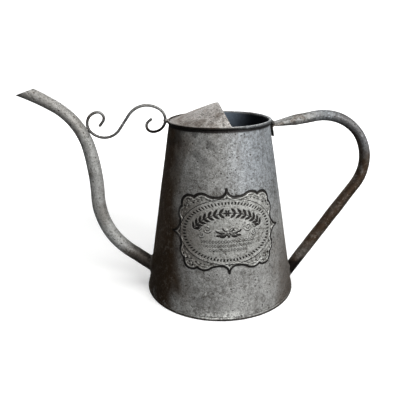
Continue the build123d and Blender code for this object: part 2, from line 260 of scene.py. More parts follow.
# ---- Materials ----
class Surface:
    """A node material under construction; every method returns an output socket."""

    def __init__(self, name):
        self.material = bpy.data.materials.new(name)
        self.material.use_nodes = True
        self.tree = self.material.node_tree
        self.shader = self.tree.nodes["Principled BSDF"]
        self.place = self.node("TexCoord").outputs["Object"]

    def node(self, kind, inputs=None, **settings):
        made = self.tree.nodes.new("ShaderNode" + kind)
        for key, value in settings.items():
            setattr(made, key, value)
        for key, value in (inputs or {}).items():
            self.feed(made.inputs[key], value)
        return made

    def feed(self, socket, value):
        if isinstance(value, bpy.types.NodeSocket):
            self.tree.links.new(value, socket)
        else:
            socket.default_value = value

    def scaled(self, x, y, z):
        return self.node("Mapping", {"Vector": self.place, "Scale": (x, y, z)}).outputs["Vector"]

    def cloud(self, scale, detail=4.0, rough=0.6, vector=None, distortion=0.0):
        """Noise of about 0..1; scale is features per metre."""
        inputs = {
            "Vector": vector or self.place,
            "Scale": scale,
            "Detail": detail,
            "Roughness": rough,
            "Distortion": distortion,
        }
        return self.node("TexNoise", inputs).outputs["Fac"]

    def cells(self, scale, output="Distance", randomness=1.0):
        inputs = {"Vector": self.place, "Scale": scale, "Randomness": randomness}
        return self.node("TexVoronoi", inputs).outputs[output]

    def span(self, value, low, high, start=0.0, end=1.0, kind="SMOOTHSTEP"):
        """Maps low..high to start..end, held at both ends."""
        inputs = {"Value": value, "From Min": low, "From Max": high, "To Min": start, "To Max": end}
        return self.node("MapRange", inputs, interpolation_type=kind).outputs["Result"]

    def math(self, operation, a, b=0.0, c=0.0):
        made = self.node("Math", operation=operation)
        for socket, value in zip(made.inputs, (a, b, c)):
            self.feed(socket, value)
        return made.outputs["Value"]

    def times(self, a, b):
        return self.math("MULTIPLY", a, b)

    def plus(self, a, b):
        return self.math("ADD", a, b)

    def sum_of(self, *weighted, start=0.0):
        """start plus each value times its weight."""
        total = start
        for value, weight in weighted:
            total = self.math("MULTIPLY_ADD", value, weight, total)
        return total

    def mix(self, share, a, b, blend="MIX"):
        made = self.node("Mix", data_type="RGBA", blend_type=blend)
        self.feed(made.inputs[0], share)
        for index, value in ((6, a), (7, b)):
            if not isinstance(value, bpy.types.NodeSocket):
                value = (*value, 1.0)
            self.feed(made.inputs[index], value)
        return made.outputs[2]

    def coat(self, share, tone):
        """Lays a tone over the colour so far."""
        self.colour = self.mix(share, self.colour, tone)

    def ramp(self, value, *stops):
        made = self.node("ValToRGB", {"Fac": value})
        elements = made.color_ramp.elements
        while len(elements) < len(stops):
            elements.new(0.5)
        for element, (position, colour) in zip(elements, stops):
            element.position = position
            element.color = (*colour, 1.0)
        return made.outputs["Color"]

    def layer(self, name):
        return self.node("Attribute", attribute_name=name, attribute_type="GEOMETRY").outputs["Fac"]

    def finish(self, roughness, metallic, bumps):
        """bumps are (height socket, depth in metres, strength), the broadest first."""
        self.feed(self.shader.inputs["Base Color"], self.colour)
        self.feed(self.shader.inputs["Roughness"], roughness)
        self.feed(self.shader.inputs["Metallic"], metallic)
        normal = None
        for height, depth, strength in bumps:
            inputs = {"Height": height, "Distance": depth, "Strength": strength}
            if normal is not None:
                inputs["Normal"] = normal
            normal = self.node("Bump", inputs).outputs["Normal"]
        if normal is not None:
            self.feed(self.shader.inputs["Normal"], normal)
        return self.material


ZINC_DARK = (0.078, 0.070, 0.060)
ZINC_ROUGH = 0.52
ZINC_METAL = 0.40
DULL_METAL = 0.92
BLOOM_WHITE = (0.58, 0.58, 0.55)
FLECK_WHITE = (0.60, 0.60, 0.57)
FLAKE_WHITE = (0.80, 0.80, 0.76)
WORN_BRIGHT = (0.57, 0.57, 0.545)
RUBBED_BROWN = (0.23, 0.20, 0.17)
PIT_BLACK = (0.028, 0.023, 0.019)
GRIME_BLACK = (0.012, 0.010, 0.009)
COOL_TINT = (0.93, 1.0, 1.10)
INSIDE_DARK = (0.006, 0.007, 0.010)
INSIDE_LIT = (0.29, 0.355, 0.44)


def zinc(
    name,
    light=(0.43, 0.43, 0.415),
    middle=(0.245, 0.243, 0.232),
    stain=(0.042, 0.025, 0.012),
    mottle=1.0,
    streaks=0.30,
    specks=0.75,
    shift=0.0,
):
    """Old galvanised sheet: grainy mottled greys, white bloom, dark pits, streaks, brown staining and dark soiling
    that also carry painted shade, rubbed metal that also carries painted highlights, and painted shade and painted
    light on the inner face.
    """
    s = Surface(name)
    moved = s.node("VectorMath", {0: s.place, 1: (shift, -shift, shift * 0.5)}, operation="ADD")
    s.place = moved.outputs[0]
    broad = s.cloud(11, 3)
    patch = s.cloud(46, 6, 0.68, distortion=0.5)
    mid = s.cloud(190, 5, 0.68)
    grain = s.cloud(430, 4, 0.75)
    sand = s.cloud(900, 2, 0.6)
    streak = s.cloud(95, 4, 0.6, vector=s.scaled(1, 1, 0.11))
    spangle = s.node("SeparateColor", {"Color": s.cells(210, "Color")}).outputs[0]
    weights = (
        (broad, 0.70 * mottle),
        (patch, 0.62 * mottle),
        (mid, 1.15 * mottle),
        (grain, 1.45 * mottle),
        (sand, 0.75 * mottle),
        (streak, streaks),
        (spangle, 0.10 * mottle),
    )
    tone = s.sum_of(*weights, start=0.53 - 0.5 * sum(weight for _, weight in weights))
    s.colour = s.ramp(tone, (0.10, ZINC_DARK), (0.46, middle), (0.92, light))
    bloom = s.times(s.span(s.cloud(560, 2, 0.6), 0.60, 0.70), s.span(patch, 0.40, 0.58))
    s.coat(s.times(bloom, specks), BLOOM_WHITE)
    fleck = s.times(s.span(s.cells(235, randomness=0.95), 0.22, 0.12), s.span(mid, 0.50, 0.40))
    s.coat(s.times(fleck, 0.8 * specks), FLECK_WHITE)
    pit = s.times(s.span(s.cells(205), 0.25, 0.13), s.span(mid, 0.44, 0.54))
    fine_pit = s.times(s.span(s.cells(520), 0.30, 0.15), s.span(patch, 0.40, 0.60))
    pitted = s.math("MAXIMUM", pit, s.times(fine_pit, 0.8))
    s.coat(s.times(pitted, 0.85), PIT_BLACK)
    cool = s.layer("cool")
    s.coat(cool, s.mix(1.0, s.colour, COOL_TINT, "MULTIPLY"))
    # The brown staining layer also carries painted shade, such as the dark brown spout side of the can.
    soaked = s.sum_of((s.layer("stain"), 1.15), (patch, 0.6), (mid, 0.4), start=-0.58)
    stained = s.span(soaked, 0.04, 0.98, kind="LINEAR")
    s.coat(s.times(stained, 0.95), s.mix(grain, stain, tuple(2.4 * c for c in stain)))
    rubbed = s.times(s.span(s.plus(grain, mid), 1.04, 1.18), stained)
    s.coat(s.times(rubbed, 0.6), RUBBED_BROWN)
    # The rubbed layer also carries painted highlights, such as the lit top of the rolled rim.
    worn = s.times(s.layer("wear"), s.span(s.plus(grain, mid), 0.88, 1.12))
    s.coat(s.times(worn, 0.7), WORN_BRIGHT)
    flaked = s.times(s.layer("flake"), s.span(s.plus(grain, patch), 1.00, 1.10))
    s.coat(s.times(flaked, 0.85), FLAKE_WHITE)
    # Painted shade on the inner face, with a painted pool of light on the back wall where the bluer layer is set.
    inner = s.layer("inside")
    lit = s.times(cool, s.span(patch, 0.3, 0.7, 0.7, 1.0))
    s.coat(inner, s.mix(lit, INSIDE_DARK, INSIDE_LIT))
    # The dark soiling layer also carries painted shade: under the rim, under the tubes, round the shield and where
    # parts meet.
    grimy = s.span(s.sum_of((s.layer("grime"), 1.25), (mid, 0.5), start=-0.3), 0.0, 0.9)
    s.coat(s.times(grimy, 0.94), GRIME_BLACK)
    dull = s.math("MAXIMUM", stained, grimy)
    roughness = s.sum_of((patch, 0.3), (grain, 0.3), (worn, -0.10), start=ZINC_ROUGH - 0.28)
    metallic = s.sum_of((dull, DULL_METAL - ZINC_METAL), start=ZINC_METAL)
    height = s.sum_of((mid, 0.5), (grain, 0.6), (sand, 0.3), (pitted, -0.6), (bloom, 0.25))
    return s.finish(roughness, metallic, [(patch, 0.0008, 0.5), (height, 0.0007, 0.7)])


def solder_metal(name):
    """Dull lead-grey solder with a wrinkled skin."""
    s = Surface(name)
    patch = s.cloud(120, 4)
    fine = s.cloud(620, 3, 0.7)
    tone = s.sum_of((patch, 1.2), (fine, 0.8), start=-0.5)
    s.colour = s.ramp(tone, (0.1, (0.07, 0.065, 0.06)), (0.5, (0.17, 0.165, 0.155)), (0.9, (0.36, 0.355, 0.34)))
    stained = s.span(s.sum_of((s.layer("stain"), 1.2), (patch, 0.8), start=-0.7), 0.0, 0.9)
    s.coat(stained, (0.06, 0.04, 0.024))
    s.coat(s.times(s.layer("grime"), 0.9), (0.02, 0.017, 0.014))
    roughness = s.sum_of((fine, 0.3), (stained, 0.15), start=0.36)
    return s.finish(roughness, 0.5, [(patch, 0.0008, 0.6), (fine, 0.0004, 0.6)])


def steel_wire(name):
    """Plain drawn wire, dulled."""
    s = Surface(name)
    patch = s.cloud(150, 4)
    fine = s.cloud(700, 2)
    tone = s.sum_of((patch, 1.1), (fine, 0.7), start=-0.4)
    s.colour = s.ramp(tone, (0.1, (0.10, 0.09, 0.08)), (0.9, (0.36, 0.35, 0.33)))
    return s.finish(s.sum_of((fine, 0.3), start=0.3), 0.8, [(fine, 0.0002, 0.5)])


# ---- Routes and tubes ----
COLLAR_COLUMNS = 72


class Route:
    """A line in the XZ plane of straight legs (a length) and arcs (radius, turn in degrees), told by its length."""

    def __init__(self, start, heading, legs):
        self.legs = []
        point, angle, gone = np.array(start, float), radians(heading), 0.0
        for leg in legs:
            radius, turn = leg if isinstance(leg, tuple) else (0.0, 0.0)
            length = radius * radians(abs(turn)) if turn else leg
            self.legs.append((gone, point, angle, radians(turn) / length))
            gone += length
            point, angle = self.step(point, angle, radians(turn) / length, length)
        self.length, self.end, self.end_heading = gone, point, degrees(angle)

    @staticmethod
    def step(point, angle, bend, run):
        if bend == 0:
            return point + np.stack([run * cos(angle), run * sin(angle)], -1), angle + 0 * run
        after = angle + bend * run
        moved = np.stack([np.sin(after) - sin(angle), cos(angle) - np.cos(after)], -1) / bend
        return point + moved, after

    def at(self, gone):
        """Points (x, z) and headings in radians at lengths along the line."""
        gone = np.asarray(gone, float)
        points, headings = np.zeros(gone.shape + (2,)), np.zeros(gone.shape)
        for index, (begin, point, angle, bend) in enumerate(self.legs):
            here = gone >= begin if index else np.ones(gone.shape, bool)
            moved, after = self.step(point, angle, bend, gone[here] - begin)
            points[here], headings[here] = moved, after
        return points, headings


def section_table(stations, smooth):
    """Section sizes along a route from (length, tall, wide, squareness) stations, eased over a length."""
    stations = np.array(stations, float)
    fine = np.linspace(stations[0, 0], stations[-1, 0], 1200)
    reach = max(1, int(smooth / (fine[1] - fine[0])))
    kernel = np.hanning(2 * reach + 3)
    kernel /= kernel.sum()
    columns = []
    for index in (1, 2, 3):
        values = np.interp(fine, stations[:, 0], stations[:, index])
        padded = np.pad(values, len(kernel) // 2, mode="edge")
        columns.append(np.convolve(padded, kernel, "valid")[: len(fine)])
    return lambda gone: [np.interp(gone, fine, column) for column in columns]


def tube_point(route, sizes, gone, around, shrink=0.0):
    """Points on an oval tube at lengths gone and angles around, 0 at +Y."""
    points, headings = route.at(gone)
    tall, wide, square = sizes(gone)
    c, s = np.cos(around), np.sin(around)
    across = np.sign(c) * np.abs(c) ** (2 / square) * (wide / 2 - shrink)
    up = np.sign(s) * np.abs(s) ** (2 / square) * (tall / 2 - shrink)
    x = points[..., 0] - np.sin(headings) * up
    z = points[..., 1] + np.cos(headings) * up
    return np.stack([x, across, z], -1)


def crossing(count, low, high, outside):
    """Where outside(lengths) passes zero between low and high, at each of count places round a tube."""
    low, high = np.full(count, float(low)), np.full(count, float(high))
    for _ in range(40):
        middle = (low + high) / 2
        out = outside(middle) > 0
        high = np.where(out, middle, high)
        low = np.where(out, low, middle)
    return (low + high) / 2


def dent(points, centres, depth, size, seed):
    """Pushes tube points in and out from their centreline by smooth noise."""
    outward = points - centres
    outward /= np.linalg.norm(outward, axis=-1, keepdims=True) + 1e-9
    return points + outward * (depth * wander(points, size, seed))[..., None]


def centres_of(route, gone):
    """A route's points in 3-D."""
    points, _ = route.at(gone)
    return np.stack([points[..., 0], np.zeros(points.shape[:-1]), points[..., 1]], -1)


def bead_along(centres, radii, closed=False):
    """Rings of 12 points round a polyline, with one radius each."""
    if closed:
        forward = np.roll(centres, -1, 0) - np.roll(centres, 1, 0)
    else:
        forward = np.gradient(centres, axis=0)
    forward /= np.linalg.norm(forward, axis=1, keepdims=True)
    up = np.tile([0.0, 0.0, 1.0], (len(centres), 1))
    side = np.cross(forward, up)
    side /= np.linalg.norm(side, axis=1, keepdims=True)
    up = np.cross(side, forward)
    angle = full_turn(12)[None, :, None]
    ring = np.cos(angle) * side[:, None] + np.sin(angle) * up[:, None]
    return centres[:, None] + ring * radii[:, None, None]


def collar(route, sizes, low, high, width, rise, seed, forward):
    """Ring of solder in the corner of a tube and the wall, which the tube meets between two lengths; forward is
    1 for a tube that leaves the wall and -1 for one that reaches it."""
    around = full_turn(COLLAR_COLUMNS)

    def outside(gone):
        return forward * past_wall(tube_point(route, sizes, gone, around))

    start = crossing(COLLAR_COLUMNS, low, high, outside)
    foot = tube_point(route, sizes, start, around)
    ahead = tube_point(route, sizes, start + forward, around) - foot
    ahead /= np.linalg.norm(ahead, axis=1, keepdims=True)
    normal = foot * [1, 1, 0]
    normal /= np.linalg.norm(normal, axis=1, keepdims=True)
    normal = normal * cos(WALL_ANGLE) + np.array([0, 0, sin(WALL_ANGLE)])
    away = foot - centres_of(route, start)
    away -= normal * (away * normal).sum(1, keepdims=True)
    away /= np.linalg.norm(away, axis=1, keepdims=True)
    lumps = wander(foot, 5.0, seed)[:, None]
    fine = wander(foot, 2.2, seed + 7)[:, None]
    on_wall = foot + away * (width * (1 + 0.45 * lumps + 0.2 * fine))
    on_wall -= normal * (past_wall(on_wall)[:, None] * cos(WALL_ANGLE) + 0.12)
    on_tube = foot + ahead * (rise * (1 + 0.5 * lumps - 0.2 * fine))
    corner = foot + (away * width + ahead * rise) * (0.16 + 0.10 * fine)
    rings = [
        (1 - share) ** 2 * on_wall + 2 * share * (1 - share) * corner + share**2 * on_tube
        for share in np.linspace(0, 1, 9)
    ]
    return np.stack([*rings, on_tube - away * 0.35, foot - normal * 0.3 - away * 0.4])


def blob(centre, radii, seed):
    """A lump of solder: an uneven rounded solid."""
    polar = np.linspace(0, pi, 28)[:, None]
    around = full_turn(40)[None]
    ball = np.stack([np.sin(polar) * np.cos(around), np.sin(polar) * np.sin(around), np.cos(polar) + 0 * around], -1)
    swell = 1 + 0.22 * wander(ball * max(radii) + seed, 2.6, seed)
    return np.array(centre) + ball * np.array(radii) * swell[..., None]


# ---- Shield outline ----
def three_point_arc(a, b, c, shares):
    """Points along the circle through a, b and c, from a to c."""
    a, b, c = (np.array(p, float) for p in (a, b, c))
    ab, ac = b - a, c - a
    normal = np.cross(ab, ac)
    centre = a + (np.cross(normal, ab) * (ac @ ac) + np.cross(ac, normal) * (ab @ ab)) / (2 * normal @ normal)
    x = a - centre
    radius = np.linalg.norm(x)
    x /= radius
    y = np.cross(normal / np.linalg.norm(normal), x)
    sweep = np.arctan2((c - centre) @ y, (c - centre) @ x) % (2 * pi)
    angle = sweep * shares
    return centre + radius * (np.cos(angle)[:, None] * x + np.sin(angle)[:, None] * y)


def outline():
    """Points round one quarter of the shield's flat outline, from its top tip to its side tip."""
    quarter = []
    corner = (*PLAQUE_TOP_TIP, 0)
    for middle, end in PLAQUE_ARCS:
        quarter.append(three_point_arc(corner, (*middle, 0), (*end, 0), np.linspace(0, 1, 24))[:, :2])
        corner = (*end, 0)
    return np.concatenate(quarter)


def from_outline(u, v):
    """Distance from points of the flat plaque to its outline."""
    found = [outline_tree.find((x, y, 0))[2] for x, y in zip(np.ravel(u), np.ravel(v))]
    return np.array(found).reshape(np.shape(u))


def unrolled(points):
    """Flat plaque coordinates of points on the wall's outer face."""
    spread = np.arctan2(points[:, 0], -points[:, 1]) - PLAQUE_TURN
    spread = ((spread + pi) % (2 * pi) - pi) * sin(WALL_ANGLE)
    slant = wall_radius(points[:, 2]) / sin(WALL_ANGLE)
    across = slant * np.sin(spread)
    up = wall_radius(PLAQUE_HEIGHT) / sin(WALL_ANGLE) - slant * np.cos(spread)
    return across * cos(PLAQUE_TILT) + up * sin(PLAQUE_TILT), up * cos(PLAQUE_TILT) - across * sin(PLAQUE_TILT)


def outline_dirt(u, v):
    """How dark the shield's outline is painted, partly soiling and partly painted shadow: most at its top and
    bottom, least at its left side.
    """
    patchy = 0.12 * np.sin(0.31 * u + 0.9) * np.cos(0.27 * v)
    return np.clip(0.58 + 0.42 * ease(np.abs(v), 20, 36) + 0.22 * ease(u, 30, 55) + patchy, 0, 1)


QUARTER = outline()
outline_points = np.concatenate([QUARTER * [i, j] for i, j in ((1, 1), (1, -1), (-1, -1), (-1, 1))])
outline_tree = kdtree.KDTree(len(outline_points))
for index, point in enumerate(outline_points):
    outline_tree.insert((point[0], point[1], 0), index)
outline_tree.balance()


# ---- Body wall: cone, rolled rim and back seam in one sheet, with the spout's hole ----
def build_wall():
    plaque_middle = 1.5 * pi + PLAQUE_TURN
    turns = np.concatenate([
        np.linspace(0, 2 * pi, 250, endpoint=False),
        pi / 2 + np.linspace(-5.0, 5.0, 33) / RIM_RADIUS,
        plaque_middle + np.linspace(-1, 1, 150) * radians(56),
    ])
    turns = np.unique(np.round(turns, 6))
    low, high = BASE_SHEET, RIM_HEIGHT - 1.75
    outer_heights = np.concatenate([
        np.linspace(low, 8, 8)[:-1],
        np.linspace(8, 44, 16)[:-1],
        np.linspace(44, 138, 104)[:-1],
        np.linspace(138, 182, 20)[:-1],
        np.linspace(182, high, 8),
    ])
    outer = [(wall_radius(h), h) for h in outer_heights]
    curl = [
        (BEAD_RADIUS + CURL_RADIUS * cos(radians(a)), RIM_HEIGHT + CURL_RADIUS * sin(radians(a)))
        for a in np.linspace(-122, 176, 20)
    ]
    inner_heights = np.linspace(RIM_HEIGHT - 1.5, low, 26)
    inner = [(wall_radius(h) - BODY_SHEET, h) for h in inner_heights]
    profile = np.array(outer + curl + inner)
    radius, height = profile[:, :1], profile[:, 1:]
    flat = turned(turns, radius, height)
    skin = np.arange(len(profile))[:, None] < len(outer)
    hold = ease(height, 2, 14) * ease(height, RIM_HEIGHT - 2, RIM_HEIGHT - 18)
    sway = 0.30 * wander(flat, 42, 3.1) * hold + 0.10 * wander(flat, 13, 9.7) * hold
    dip = 0.16 * wander(flat * [1, 1, 0.2], 30, 21.0) * ease(height, 150, RIM_HEIGHT)
    off_seam = np.abs((turns - pi / 2) * radius)
    seam = SEAM_PROUD * ease(off_seam, SEAM_WIDTH / 2 + 0.45, SEAM_WIDTH / 2 - 0.45)
    seam = seam * ease(height, 4.6, 6.0) * ease(height, RIM_HEIGHT - 3.2, RIM_HEIGHT - 5.0)
    crease = 0.12 * ease(np.abs(off_seam - SEAM_WIDTH / 2), 0.7, 0.0)
    radius = radius + sway + dip + skin * (seam - crease)
    lift = 0.22 * wander(flat * [1, 1, 0], 26, 5.0) * ease(height, 172, RIM_HEIGHT)
    points = turned(turns, radius, height + lift)
    wall = make_piece("can_wall", points, grid_faces(*points.shape[:2], wrap_rows=True), 60)

    around = full_turn(40)[None]
    gone = np.linspace(2, SPOUT_INSIDE + 22, 12)[:, None]
    cutter_points, cutter_faces = capped_grid(
        tube_point(spout_route, spout_sizes, gone + 0 * around, around + 0 * gone, SPOUT_WALL)
    )
    cutter = make_piece("spout_bore_cutter", cutter_points, cutter_faces)
    hole = wall.modifiers.new("spout_hole", "BOOLEAN")
    hole.operation, hole.solver, hole.object = "DIFFERENCE", "EXACT", cutter
    ready = wall.evaluated_get(bpy.context.evaluated_depsgraph_get())
    opened = bpy.data.meshes.new_from_object(ready)
    wall.modifiers.clear()
    wall.data = opened
    bpy.data.objects.remove(cutter)
    return wall


def round_can(x, y):
    """Degrees round the can from its plaque side (-Y) towards its spout side (-X)."""
    return np.degrees(np.arctan2(-x, -y))


def wall_stain(p, x, y, z):
    """Brown patina and painted shade: heavy on the spout side, where the dark brown is partly patina and partly
    painted shade, ragged at its edge; painted shade at the rolled rim on the spout side; a darker foot on the handle
    side.
    """
    side = round_can(x, y)
    ragged = 9 * wander(p, 26, 40.0) + 7 * wander(p * [1, 1, 0.4], 8, 41.0)
    narrow = 12 * ease(z, 60, 150)
    # Dark brown on the spout side: partly patina, partly painted shade on the side turned from the light.
    left = ease(side + ragged - narrow, 20, 56) * ease(side, 175, 120)
    low_right = ease(side + ragged, -24, -60) * ease(z, 110, 20)
    back = ease(np.abs(side), 140, 175) * 0.35
    drips = ease(wander(p * [1, 1, 0.12], 9, 47.0), 0.15, 0.6) * ease(z, 110, 185)
    blots = ease(wander(p * [1, 1, 0.8], 21, 48.0), 0.10, 0.55) * ease(side, -25, 10)
    # Painted shade at the rolled rim on the spout side.
    rim_left = ease(z, RIM_HEIGHT - 3, RIM_HEIGHT - 1) * ease(side, -22, 12)
    foot = ease(wander(p * [1, 1, 1.4], 17, 49.0), 0.15, 0.5) * ease(z, 60, 10)
    loose = 0.30 * drips + 0.30 * blots * ease(z, 100, 170) + 0.12 * foot
    return left + 0.60 * low_right + back + loose + 0.70 * rim_left


def wall_grime(p, x, y, z):
    """Dirt and painted shade: painted shadow under the rolled rim; a dark rolled rim, partly painted shade and
    darker on the spout side; a darker line above the hem; a dark line along the seam; a dark outline round the
    shield, partly soiling and partly painted shadow; and a few clouds.
    """
    side = round_can(x, y)
    # Painted shadow under the rolled rim.
    under_curl = ease(z, RIM_HEIGHT - 5.5, RIM_HEIGHT - 2.2) * ease(z, RIM_HEIGHT - 0.4, RIM_HEIGHT - 1.1)
    on_curl = 0.55 * ease(z, RIM_HEIGHT - 2, RIM_HEIGHT - 1) * ease(z, RIM_HEIGHT + 1.5, RIM_HEIGHT + 0.9)
    on_curl = on_curl * (0.85 + 0.85 * ease(side, -30, 15) + 0.4 * wander(p, 7, 63.0))
    at_hem = ease(z, HEM_HEIGHT + 2.0, HEM_HEIGHT + 0.2) * 0.35
    off_seam = np.abs(np.arctan2(x, y)) * np.hypot(x, y)
    by_seam = ease(np.abs(off_seam - SEAM_WIDTH / 2 - 0.5), 1.1, 0.2) * (y > 0) * 0.7
    clouds = ease(wander(p, 13, 64.0), -0.05, 0.4) * ease(z, 135, 172) * ease(side, -14, 10)
    freckles = ease(wander(p, 6.5, 62.0), 0.30, 0.62)
    u, v = unrolled(p)
    near = (y < 0) & (np.abs(u) < 70) & (np.abs(v) < 52)
    distance = np.full(len(p), 99.0)
    distance[near] = from_outline(u[near], v[near])
    # Dark outline round the shield: partly soiling, partly painted shadow of the raised plaque.
    halo = outline_dirt(u, v) * ease(distance, 1.8, 0.7)
    dirt = most(under_curl, on_curl, at_hem, by_seam, 0.40 * clouds, 0.30 * freckles, halo)
    return (past_wall(p) > -0.45) * dirt


def wall_wear(p, x, y, z):
    """Rubbed metal: on the rolled rim, whose top also carries a painted highlight, stronger on the handle side; in
    patches at the foot and on the seam.
    """
    side, skin = round_can(x, y), past_wall(p)
    bead = ease(z, RIM_HEIGHT + 0.2, RIM_HEIGHT + 1.2) * (0.35 + 0.35 * ease(side, 20, -25))
    foot = ease(z, 26, 5) * ease(wander(p, 15, 70.0), 0.0, 0.4)
    seam = (skin > 0.45) * (y > 0) * (z < RIM_HEIGHT - 4) * 0.5
    edge = ease(z, 11, 6) * ease(wander(p, 5.5, 71.0), 0.02, 0.3) * ease(side, -25, 5) * ease(side, 85, 60)
    return most(bead, 0.9 * foot * (skin > -0.4), seam, 1.3 * edge * (skin > -0.4))


def front_flakes(p, x, y, z):
    """White bloom flaking off at the lower front edge."""
    side = round_can(x, y)
    around = ease(side, -26, -8) * ease(side, 30, 10)
    return around * ease(z + 3.5 * wander(p, 7, 72.0), 11, 4) * (past_wall(p) > -0.4)


def wall_inside(p, x, y, z):
    """Painted shade on the inner face, half as dark lower down."""
    inner_face = ease(past_wall(p), -0.40, -0.60)
    below_rim = ease(z, RIM_HEIGHT + 0.6, RIM_HEIGHT - 0.4)
    return inner_face * below_rim * (0.45 + 0.55 * ease(z, 135, 158))


def wall_cool(p, x, y, z):
    """Bluer metal outside, high on the handle side; inside, a painted pool of light on the back wall."""
    outside = ease(z, 70, 160) * ease(round_can(x, y), 12, -30)
    back_wall = ease(x, 44, 8) * ease(z, 90, 175) * (y > 0)
    return np.where(past_wall(p) < -0.45, back_wall, outside)


# ---- Base pan and its seal ----
def build_base():
    def inner(height):
        return wall_radius(height) - BODY_SHEET

    turns = full_turn(300)
    top = BASE_RECESS + BASE_SHEET
    hem = BASE_SHEET / 2
    lip = [
        (wall_radius(HEM_HEIGHT) + hem + hem * cos(radians(a)), HEM_HEIGHT - hem + hem * sin(radians(a)))
        for a in np.linspace(0, 180, 7)
    ]
    fold = [
        (wall_radius(0) - 0.25 + (BASE_SHEET + 0.25) * cos(radians(a)), 0.75 + 0.75 * sin(radians(a)))
        for a in np.linspace(-90, 0, 7)
    ]
    under = [(r, BASE_RECESS) for r in np.linspace(1.0, inner(BASE_RECESS) - 3.2, 26)]
    shoulder = [(inner(BASE_RECESS) - 1.6, BASE_RECESS - 0.25), (inner(BASE_RECESS) - 0.8, BASE_RECESS - 1.2)]
    drop = [(inner(0) - BASE_SHEET, 0.7), (inner(0) - BASE_SHEET + 0.35, 0.1)]
    channel = [(wall_radius(BASE_SHEET), BASE_SHEET), (inner(BASE_SHEET), BASE_SHEET)]
    inside = [(inner(top) - 0.05, top - 0.9), (inner(top) - 0.9, top - 0.1)]
    floor = [(r, top) for r in np.linspace(inner(top) - 2.5, 1.0, 26)]
    profile = np.array(under + shoulder + drop + fold + lip + channel + inside + floor)
    rows, columns = len(profile), len(turns)
    radius, height = profile[:, :1], profile[:, 1:]
    flat = turned(turns, radius, height)
    disc = ease(radius, 78, 60)
    ring = 0.55 * ease(np.abs(radius - 55), 3.2, 0.6)
    height = height + disc * 0.35 * wander(flat * [1, 1, 0], 38, 80.0) + ring
    edge = ease(radius, 81.5, 83) * 0.12 * wander(flat, 9, 82.0)
    faces = grid_faces(rows, columns)
    faces.append(list(range(columns)))
    faces.append(list(range((rows - 1) * columns, rows * columns)))
    return make_piece("base_pan_piece", turned(turns, radius + edge, height), faces, 48)


# ---- Splash hood ----
def build_hood():
    shares = np.linspace(0, 1, 121)
    reach = radians(HOOD_SEAT_REACH)
    end = (-HOOD_SEAT_RADIUS * cos(reach), HOOD_SEAT_RADIUS * sin(reach), HOOD_SEAT_HEIGHT)
    seat = three_point_arc((end[0], -end[1], end[2]), (-HOOD_SEAT_RADIUS, 0, HOOD_SEAT_HEIGHT), end, shares)
    foot = HOOD_EDGE_FOOT
    edge = three_point_arc((foot[0], -foot[1], foot[2]), HOOD_PEAK, foot, shares)
    up = np.concatenate([np.linspace(0, 0.96, 34)[:-1], np.linspace(0.96, 1, 5)])[:, None, None]
    skin = seat[None] * (1 - up) + edge[None] * up
    along = np.gradient(skin, axis=1)
    rise = np.gradient(skin, axis=0)
    normal = np.cross(along, rise)
    length = np.linalg.norm(normal, axis=-1, keepdims=True)
    normal = np.where(length > 1e-6, normal / np.maximum(length, 1e-9), [0, 0, 1])
    if normal[20, 60, 2] < 0:
        normal = -normal
    belly = up[..., 0] * (1 - up[..., 0]) * 4
    middle = np.sin(pi * shares)[None]
    wave = (0.35 * wander(skin, 22, 90.0) + 0.8 * belly * middle) * (0.25 + 0.75 * middle)
    lip = 0.5 * ease(up[..., 0], 0.93, 1.0) * middle
    outer = skin + normal * (wave * np.minimum(1, 6 * up[..., 0]) - lip)[..., None]
    inner = outer - normal * HOOD_SHEET
    rows, columns = outer.shape[:2]
    count = rows * columns
    faces = grid_faces(rows, columns, wrap_columns=False)
    faces += grid_faces(rows, columns, wrap_columns=False, first=count)
    rim = [(0, c) for c in range(columns)] + [(r, columns - 1) for r in range(1, rows)]
    rim += [(rows - 1, c) for c in range(columns - 2, -1, -1)] + [(r, 0) for r in range(rows - 2, 0, -1)]
    ids = [r * columns + c for r, c in rim]
    for here, after in zip(ids, ids[1:] + ids[:1]):
        faces.append([here, after, after + count, here + count])
    return make_piece("splash_hood_piece", np.concatenate([outer.reshape(-1, 3), inner.reshape(-1, 3)]), faces)


# ---- Spout ----
spout_start = np.array(SPOUT_ROOT) - SPOUT_INSIDE * np.array(
    [cos(radians(SPOUT_ROOT_HEADING)), sin(radians(SPOUT_ROOT_HEADING))]
)
spout_route = Route(
    spout_start, SPOUT_ROOT_HEADING, [SPOUT_ROOT_LENGTH + SPOUT_INSIDE, *SPOUT_BENDS, SPOUT_TIP_LENGTH]
)
spout_sizes = section_table([(share * spout_route.length, tall, wide, 2.0) for share, tall, wide in SPOUT_OVALS], 18)
cut_run = np.array(TIP_CUT_HIGH) - np.array(TIP_CUT_LOW)
cut_normal = np.array([-cut_run[1], cut_run[0]]) / np.hypot(*cut_run)


def past_cut(points):
    """How far points lie beyond the slanted cut of the tip."""
    return (points[..., 0] - TIP_CUT_LOW[0]) * cut_normal[0] + (points[..., 2] - TIP_CUT_LOW[1]) * cut_normal[1]


